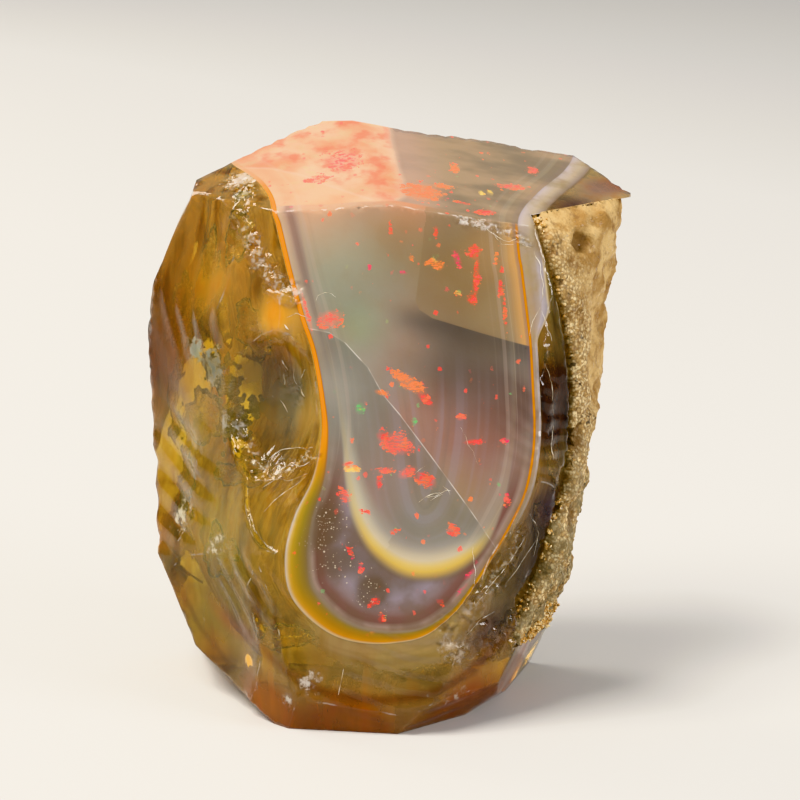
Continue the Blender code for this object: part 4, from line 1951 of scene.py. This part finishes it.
@dataclass
class InnerCracks(Piece):
    """The cracks inside the clear stone, each a thin lens with a ragged rim."""

    thickness: float = 0.02
    cover: float = 0.28
    cracks: tuple[Crack, ...] = (
        Crack((-6.3, -0.6, 20.2), (0.5, 1.5), (-0.5, -0.7, 0.3)),
        Crack((-7.6, -0.2, 18.4), (0.7, 1.8), (-0.8, -0.6, 0.2), 0.35),
        Crack((-8.6, 0.8, 16.4), (0.6, 2.0), (-0.6, -0.8, 0.0), 0.3),
        Crack((-5.6, -0.8, 16.2), (0.7, 1.2), (0.3, -0.9, 0.4), 0.2),
        Crack((-7.4, 0.0, 12.2), (1.1, 1.4), (-0.4, -0.8, -0.3), 0.3),
        Crack((-6.0, -1.2, 9.9), (1.3, 0.6), (0.2, -0.7, 0.6), 0.25),
        Crack((-8.4, -0.2, 9.4), (0.7, 1.0), (-0.7, -0.6, 0.2), 0.25),
        Crack((-6.8, -1.6, 6.4), (0.9, 1.2), (-0.5, -0.8, 0.3), 0.3),
        Crack((-4.4, -4.0, 3.4), (1.0, 0.5), (-0.2, -0.8, 0.5), 0.2),
        Crack((-1.0, -5.0, 1.6), (1.6, 0.45), (0.1, -0.6, 0.8), 0.3),
        Crack((2.2, -5.0, 2.2), (1.3, 0.5), (0.2, -0.7, 0.7), 0.3),
        Crack((4.6, -4.2, 3.4), (0.8, 0.8), (0.5, -0.8, 0.2), 0.2),
        Crack((6.7, -3.0, 14.6), (0.35, 1.2), (0.7, -0.7, 0.1), 0.2),
        Crack((6.6, -3.2, 11.6), (0.35, 1.3), (0.5, -0.8, 0.2), 0.2),
        Crack((6.3, -3.6, 8.6), (0.5, 1.0), (0.6, -0.7, 0.3), 0.2),
        Crack((-8.6, 3.4, 12.0), (1.0, 2.0), (-0.9, 0.4, 0.1), 0.3),
        Crack((-6.4, 4.6, 16.0), (1.2, 1.8), (-0.6, 0.8, 0.1), 0.3),
        Crack((2.4, 5.4, 5.0), (1.6, 1.0), (0.2, 0.9, 0.2), 0.3),
    )

    def sheet(self, crack: Crack, phase: float) -> Mesh:
        """Makes one crack as a curved sheet with a ragged rim.

        Args:
            crack: The crack.
            phase: Makes its rim and its swell its own.

        Returns:
            The sheet.
        """
        bm = bmesh.new()
        bmesh.ops.create_circle(bm, cap_ends=True, cap_tris=True, segments=28, radius=1.0)
        bmesh.ops.subdivide_edges(bm, edges=bm.edges[:], cuts=3, use_grid_fill=True)
        turn = Vector(crack.facing).to_track_quat("Z", "Y")
        for vertex in bm.verts:
            angle = math.atan2(vertex.co.y, vertex.co.x)
            ragged = noise.fractal(Vector((math.cos(angle), math.sin(angle), phase)) * 1.4, 1.0, 2.0, 3)
            reach = 1 + 0.45 * ragged
            across, up = (part * half * reach for part, half in zip(vertex.co.xy, crack.halves))
            place = Vector((across, up, 0.0))
            swell = noise.fractal(place * 1.6 + Vector((phase, 0, 0)), 1.0, 2.0, 2)
            place.z = crack.bend * (vertex.co.length_squared - 0.5) + 0.10 * swell
            vertex.co = (turn @ place + Vector(crack.middle)) * MM
        mesh = bpy.data.meshes.new("sheet")
        bm.to_mesh(mesh)
        bm.free()
        return mesh

    def build(self, node: Object) -> Object:
        """Makes all the cracks as one piece, inside the stone.

        Args:
            node: The stone's solid.

        Returns:
            The piece.
        """
        bm = bmesh.new()
        generator = np.random.default_rng(SEED)
        for crack in self.cracks:
            mesh = self.sheet(crack, generator.uniform(0.0, 50.0))
            bm.from_mesh(mesh)
            bpy.data.meshes.remove(mesh)
        keep_inside(bm, node, self.cover)
        bmesh.ops.solidify(bm, geom=bm.faces[:] + bm.edges[:] + bm.verts[:], thickness=self.thickness * MM)
        bmesh.ops.recalc_face_normals(bm, faces=bm.faces[:])
        self.piece = new_piece("inner_cracks", bm)
        return self.piece

    def dress(self) -> None:
        """Gives the cracks a silvery gloss."""
        graph = Graph("silvery crack")
        patch = graph.rise(graph.noise(0.35, 4.0, rough=0.7), 0.46, 0.66, 0.94, 0.50)
        graph.plain(
            Base_Color=tone(238, 226, 204), Roughness=0.14, IOR=1.6, Transmission_Weight=patch,
            Normal=graph.bump(graph.noise(0.3, 3.0), 0.05, 0.8),
        )
        self.wear(graph.material)


@dataclass(frozen=True)
class Thread:
    """A hair-thin bright line on the front, such as a scratch or a chip's lip, as x and z of its stops."""

    stops: tuple[tuple[float, float], ...]
    width: float = 0.035


@dataclass
class BrightThreads(Piece):
    """The scratches, chip lips and hairline cracks that catch the light on the front, and pale slivers in the
    hollow that are painted glints.
    """

    stone: Object
    threads: tuple[Thread, ...] = (
        Thread(((-3.08, 18.0), (-2.98, 18.25), (-2.66, 18.4), (-2.36, 18.32), (-2.2, 18.2)), 0.035),
        Thread(((3.04, 12.9), (3.3, 12.4), (3.8, 11.35)), 0.022),
        Thread(((1.27, 9.75), (1.6, 10.0), (2.2, 10.2)), 0.045),
        Thread(((1.5, 9.95), (1.95, 10.0), (2.45, 10.3), (2.62, 10.28)), 0.035),
        Thread(((1.75, 9.8), (2.1, 10.05), (2.3, 10.12)), 0.03),
        Thread(((2.3, 10.5), (2.5, 10.35), (2.6, 10.1)), 0.03),
        Thread(((1.1, 10.9), (1.35, 11.15), (1.6, 11.3)), 0.022),
        Thread(((3.56, 8.0), (3.6, 7.4), (3.68, 6.9), (3.6, 6.4)), 0.045),
        Thread(((-1.9, 2.85), (-2.0, 2.3), (-2.12, 1.75)), 0.035),
        Thread(((-5.3, 11.0), (-4.6, 11.5), (-3.8, 11.75), (-3.2, 12.0)), 0.05),
        Thread(((-4.9, 10.6), (-4.2, 11.1), (-3.6, 11.2), (-3.2, 11.5)), 0.045),
        Thread(((-5.4, 10.1), (-4.8, 10.5), (-4.2, 10.55), (-3.4, 10.9)), 0.04),
        Thread(((-5.3, 9.1), (-4.9, 9.55), (-4.3, 10.1), (-3.5, 10.75)), 0.05),
        Thread(((3.5, 21.1), (4.2, 20.9), (4.7, 20.55), (5.1, 20.4), (5.6, 20.6)), 0.05),
        Thread(((3.9, 21.15), (4.4, 20.75), (4.8, 20.3), (5.3, 20.3)), 0.04),
        Thread(((5.6, 20.3), (6.1, 20.1), (6.4, 19.4), (6.55, 18.6), (6.45, 17.8)), 0.05),
        Thread(((6.45, 17.8), (6.1, 17.2), (5.95, 16.6)), 0.045),
        Thread(((6.5, 17.6), (6.7, 16.9), (6.9, 16.3)), 0.05),
        Thread(((6.6, 15.6), (6.9, 14.6), (7.0, 13.2)), 0.05),
        Thread(((7.0, 12.8), (6.9, 12.0), (6.98, 11.4)), 0.06),
        Thread(((5.9, 8.3), (5.0, 7.1), (4.3, 6.3), (3.6, 5.5)), 0.06),
        Thread(((6.3, 7.9), (5.5, 6.9), (4.9, 6.2)), 0.05),
        Thread(((6.0, 9.2), (6.4, 8.2), (6.2, 7.2)), 0.05),
        Thread(((3.3, 4.3), (3.9, 4.9), (4.5, 5.1)), 0.045),
        Thread(((-4.3, 17.35), (-3.9, 17.55), (-3.5, 17.4)), 0.05),
        # Painted highlights: pale slivers in the hollow that stand for its sparkling glints.
        Thread(((-4.42, 17.05), (-4.30, 16.88), (-4.22, 16.84)), 0.10),
        Thread(((-4.60, 15.30), (-4.42, 15.10), (-4.30, 14.84)), 0.09),
        Thread(((-4.50, 14.64), (-4.40, 14.44), (-4.42, 14.20)), 0.08),
        Thread(((-3.52, 15.10), (-3.62, 14.86), (-3.74, 14.62)), 0.08),
        Thread(((-3.78, 14.25), (-3.66, 14.02), (-3.58, 13.80)), 0.07),
        Thread(((-4.00, 15.00), (-4.04, 14.60), (-3.90, 14.30)), 0.04),
        Thread(((-4.62, 13.50), (-4.40, 13.20), (-4.30, 13.05)), 0.06),
    )
    scale: float = 0.8
    steps: int = 6
    in_front: float = -20.0

    def build(self, _: Object) -> Object:
        """Lays every thread on the finished stone, as one piece.

        Args:
            _: The stone's solid, which isn't needed here.

        Returns:
            The piece.
        """
        curve = bpy.data.curves.new("bright_threads", "CURVE")
        curve.dimensions = "3D"
        curve.bevel_depth = 0.5 * MM
        curve.bevel_resolution = 1
        curve.use_fill_caps = True
        bm = bmesh.new()
        bm.from_mesh(self.stone.data)
        tree = BVHTree.FromBMesh(bm)
        bm.free()
        for thread in self.threads:
            stops = np.array(thread.stops)
            along = np.linspace(0, len(stops) - 1, (len(stops) - 1) * self.steps + 1)
            across, up = (np.interp(along, range(len(stops)), stops[:, axis]) for axis in (0, 1))
            spline = curve.splines.new("POLY")
            spline.points.add(len(along) - 1)
            for point, a, b, share in zip(spline.points, across, up, np.linspace(0, 1, len(along))):
                wobble = 0.05 * noise.noise(Vector((a * 4, b * 4, 1.7)))
                start = Vector((a + wobble, self.in_front, b + wobble)) * MM
                hit = tree.ray_cast(start, Vector((0, 1, 0)))[0] or start
                point.co = (*hit, 1.0)
                swell = 0.6 + 0.9 * noise.noise(Vector((a * 5, b * 5, 8.1)))
                tapered = 0.3 + 0.7 * math.sin(math.pi * share) ** 0.5
                point.radius = self.scale * thread.width * swell * tapered
        self.piece = bpy.data.objects.new("bright_threads", curve)
        bpy.context.scene.collection.objects.link(self.piece)
        graph = bpy.context.evaluated_depsgraph_get()
        mesh = bpy.data.meshes.new_from_object(self.piece.evaluated_get(graph))
        bpy.data.objects.remove(self.piece)
        bm = bmesh.new()
        bm.from_mesh(mesh)
        self.piece = new_piece("bright_threads", bm)
        return self.piece

    def dress(self) -> None:
        """Gives the threads their silvery finish."""
        graph = Graph("bright thread")
        colour = graph.ramp(
            graph.noise(0.7, 3.0, rough=0.7),
            ((0.36, tone(150, 130, 104)), (0.48, tone(206, 190, 160)), (0.62, tone(234, 228, 216))),
            0.3, 0.7,
        )
        graph.plain(Base_Color=colour, Roughness=0.25, IOR=1.6)
        self.wear(graph.material)


@dataclass(frozen=True)
class Cluster:
    """A knot of small crystals that grew in the clear stone."""

    middle: Point
    halves: Point
    count: int


def add_grain(bm: BMesh, spot: Array, halves: Array, facing: Array) -> None:
    """Adds one angular grain to a mesh.

    Args:
        bm: The mesh.
        spot: The grain's middle, in millimetres.
        halves: Half its width each way, in millimetres.
        facing: Where its third side faces.
    """
    turn = Vector(facing).to_track_quat("Z", "Y").to_matrix().to_4x4()
    size = Matrix.Diagonal((*(halves * MM), 1.0))
    place = Matrix.Translation(Vector(spot) * MM)
    bmesh.ops.create_icosphere(bm, subdivisions=1, radius=1.0, matrix=place @ turn @ size)


@dataclass
class SeamSand(Piece):
    """Loose, glittering sand along the seam where the rock meets the opal."""

    crust: RockCrust
    count: int = 1500
    spread: float = 0.07
    corner: Point = (6.38, -0.42, 20.86)
    corner_count: int = 90
    corner_spread: float = 0.17
    corner_shape: Point = (0.9, 1.8, 0.8)
    corner_size: float = 1.6

    def build(self, _: Object) -> Object:
        """Strews the grains along the seam and heaps some in its top corner, as one piece.

        Args:
            _: The rock's solid, which isn't needed here.

        Returns:
            The piece.
        """
        generator = np.random.default_rng(SEED + 2)
        seam = self.crust.seam
        chosen = seam[generator.integers(0, len(seam), self.count)]
        chosen = chosen + generator.normal(0.0, self.spread, chosen.shape)
        heap = generator.normal(0.0, self.corner_spread, (self.corner_count, 3)) * self.corner_shape
        heap = np.array(self.corner) + heap
        bm = bmesh.new()
        for index, spot in enumerate(np.vstack([chosen, heap])):
            width = generator.uniform(0.03, 0.085) * (self.corner_size if index >= self.count else 1.0)
            add_grain(bm, spot, generator.uniform(0.7, 1.4, 3) * width, generator.normal(size=3))
        self.piece = new_piece("seam_sand", bm)
        self.piece.data.shade_flat()
        return self.piece

    def dress(self) -> None:
        """Gives the sand its golden glitter."""
        graph = Graph("golden sand")
        chosen = graph.parts(graph.cells(0.12).outputs["Color"])
        colour = graph.ramp(
            chosen[0],
            ((0.0, tone(120, 80, 34)), (0.2, tone(196, 146, 70)), (0.6, tone(226, 186, 112)),
             (0.9, tone(244, 226, 176))),
            0.0, 1.0,
        )
        graph.plain(Base_Color=colour, Roughness=graph.rise(chosen[1], 0.5, 0.6, 0.55, 0.18), IOR=1.55)
        self.wear(graph.material)


@dataclass
class MineralGrains(Piece):
    """Grey-green crystals in the clear stone, as joined angular grains."""

    clusters: tuple[Cluster, ...] = (
        Cluster((-7.5, -1.5, 14.9), (0.85, 0.5, 0.75), 90),
        Cluster((-7.0, -1.6, 14.1), (0.5, 0.4, 0.5), 40),
        Cluster((-6.5, -2.2, 12.5), (0.65, 0.45, 1.0), 90),
        Cluster((-5.7, -2.2, 13.2), (0.4, 0.3, 0.6), 30),
        Cluster((-8.8, -0.6, 8.2), (0.5, 0.4, 0.6), 30),
        Cluster((-6.2, 0.3, 21.4), (0.35, 0.4, 0.5), 24),
        Cluster((-7.6, 4.2, 11.0), (0.8, 0.6, 1.1), 60),
    )
    spread: float = 0.45
    cover: float = 0.2

    def build(self, node: Object) -> Object:
        """Makes all the grains as one piece, inside the stone.

        Args:
            node: The stone's solid.

        Returns:
            The piece.
        """
        bm = bmesh.new()
        generator = np.random.default_rng(SEED + 1)
        for cluster in self.clusters:
            for _ in range(cluster.count):
                spot = np.array(cluster.middle) + generator.normal(0.0, self.spread, 3) * cluster.halves
                width = generator.uniform(0.05, 0.19)
                add_grain(bm, spot, generator.uniform(0.7, 1.5, 3) * width, generator.normal(size=3))
        keep_inside(bm, node, self.cover)
        self.piece = new_piece("mineral_grains", bm)
        self.piece.data.shade_flat()
        return self.piece

    def dress(self) -> None:
        """Gives the grains their grey-green, whitish finish."""
        graph = Graph("grey-green mineral")
        colour = graph.ramp(
            graph.noise(0.35, 3.0, rough=0.7),
            ((0.3, tone(78, 82, 68)), (0.48, tone(110, 114, 96)), (0.6, tone(152, 150, 132)),
             (0.72, tone(206, 202, 186))),
            0.25, 0.8,
        )
        graph.plain(Base_Color=colour, Roughness=0.35)
        self.wear(graph.material)


@dataclass
class Studio:
    """The plain pale floor, the soft lights and the camera."""

    aim: Point = (0.486, -4.15, 13.997)
    distance: float = 140.65
    elevation: float = 15.6
    lens: float = 150.0
    floor_half: float = 3000.0
    floor_colour: Colour = tone(206, 204, 200)
    room_colour: Colour = tone(226, 228, 232)
    room_strength: float = 0.42
    lit: Point = (0.0, 0.0, 12.0)

    def floor(self) -> None:
        """Lays the floor, which isn't part of the stone."""
        bm = bmesh.new()
        bmesh.ops.create_grid(bm, x_segments=1, y_segments=1, size=self.floor_half * MM)
        floor = new_piece("floor", bm)
        graph = Graph("pale floor")
        graph.plain(Base_Color=self.floor_colour, Roughness=0.7)
        floor.data.materials.append(graph.material)

    def light(self, name: str, at: Point, width: float, power: float, colour: Colour) -> None:
        """Hangs one soft light that faces the stone.

        Args:
            name: The light's name.
            at: Its place, in millimetres.
            width: The width of its square face, in millimetres.
            power: Its power, in watts.
            colour: Its colour.
        """
        lamp = bpy.data.lights.new(name, "AREA")
        lamp.size = width * MM
        lamp.energy = power
        lamp.color = colour[:3]
        item = bpy.data.objects.new(name, lamp)
        item.location = Vector(at) * MM
        item.rotation_mode = "QUATERNION"
        item.rotation_quaternion = (Vector(self.lit) * MM - item.location).to_track_quat("-Z", "Y")
        bpy.context.scene.collection.objects.link(item)

    def lights(self) -> None:
        """Sets the soft studio light: a pale room, a broad light above and two low ones."""
        world = bpy.data.worlds.new("pale room")
        world.use_nodes = True
        background = world.node_tree.nodes["Background"]
        background.inputs["Color"].default_value = self.room_colour
        background.inputs["Strength"].default_value = self.room_strength
        bpy.context.scene.world = world
        self.light("key light", (-110, -50, 220), 130, 0.85, tone(255, 250, 242))
        self.light("left light", (-150, 140, 120), 120, 0.34, tone(255, 248, 238))
        self.light("right light", (190, -80, 120), 90, 0.36, tone(252, 250, 250))

    def camera(self) -> None:
        """Places the camera at the photograph's viewing angle."""
        lean = math.radians(self.elevation)
        back = Vector((0, -math.cos(lean), math.sin(lean)))
        data = bpy.data.cameras.new("camera")
        data.lens = self.lens
        data.clip_start = 0.001
        item = bpy.data.objects.new("camera", data)
        item.location = (Vector(self.aim) + back * self.distance) * MM
        item.rotation_mode = "QUATERNION"
        item.rotation_quaternion = (-back).to_track_quat("-Z", "Y")
        bpy.context.scene.collection.objects.link(item)
        bpy.context.scene.camera = item

    def build(self) -> None:
        """Sets up the whole studio."""
        self.floor()
        self.lights()
        self.camera()
        bpy.context.scene.view_settings.view_transform = "Khronos PBR Neutral"


def fit(maker: Piece, node: Object) -> None:
    """Builds and dresses one piece, and ties it to the stone.

    Args:
        maker: What builds and dresses the piece.
        node: The solid that it is built on.
    """
    piece = maker.build(node)
    maker.dress()
    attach(piece, BODY)
    log.info("%s: %d faces", piece.name, len(piece.data.polygons))


def main() -> None:
    """Builds and dresses the stone piece by piece, then the studio."""
    logging.basicConfig(level=logging.INFO, format="%(name)s: %(message)s")
    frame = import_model()
    nodes = frame["nodes"]
    growth = Growth()
    nodule = OpalNodule(growth)
    heart = MilkyHeart(growth)
    crust = RockCrust(nodes["opal"])
    fit(nodule, nodes["opal"])
    fit(heart, nodes["opal"])
    fit(InnerCracks(), nodes["opal"])
    fit(MineralGrains(), nodes["opal"])
    fit(BrightThreads(nodule.piece), nodes["opal"])
    fit(crust, nodes["host_rock_crust"])
    fit(SeamSand(crust), nodes["host_rock_crust"])
    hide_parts("opal")
    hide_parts("host_rock_crust")
    Studio().build()


if __name__ == "__main__":
    main()
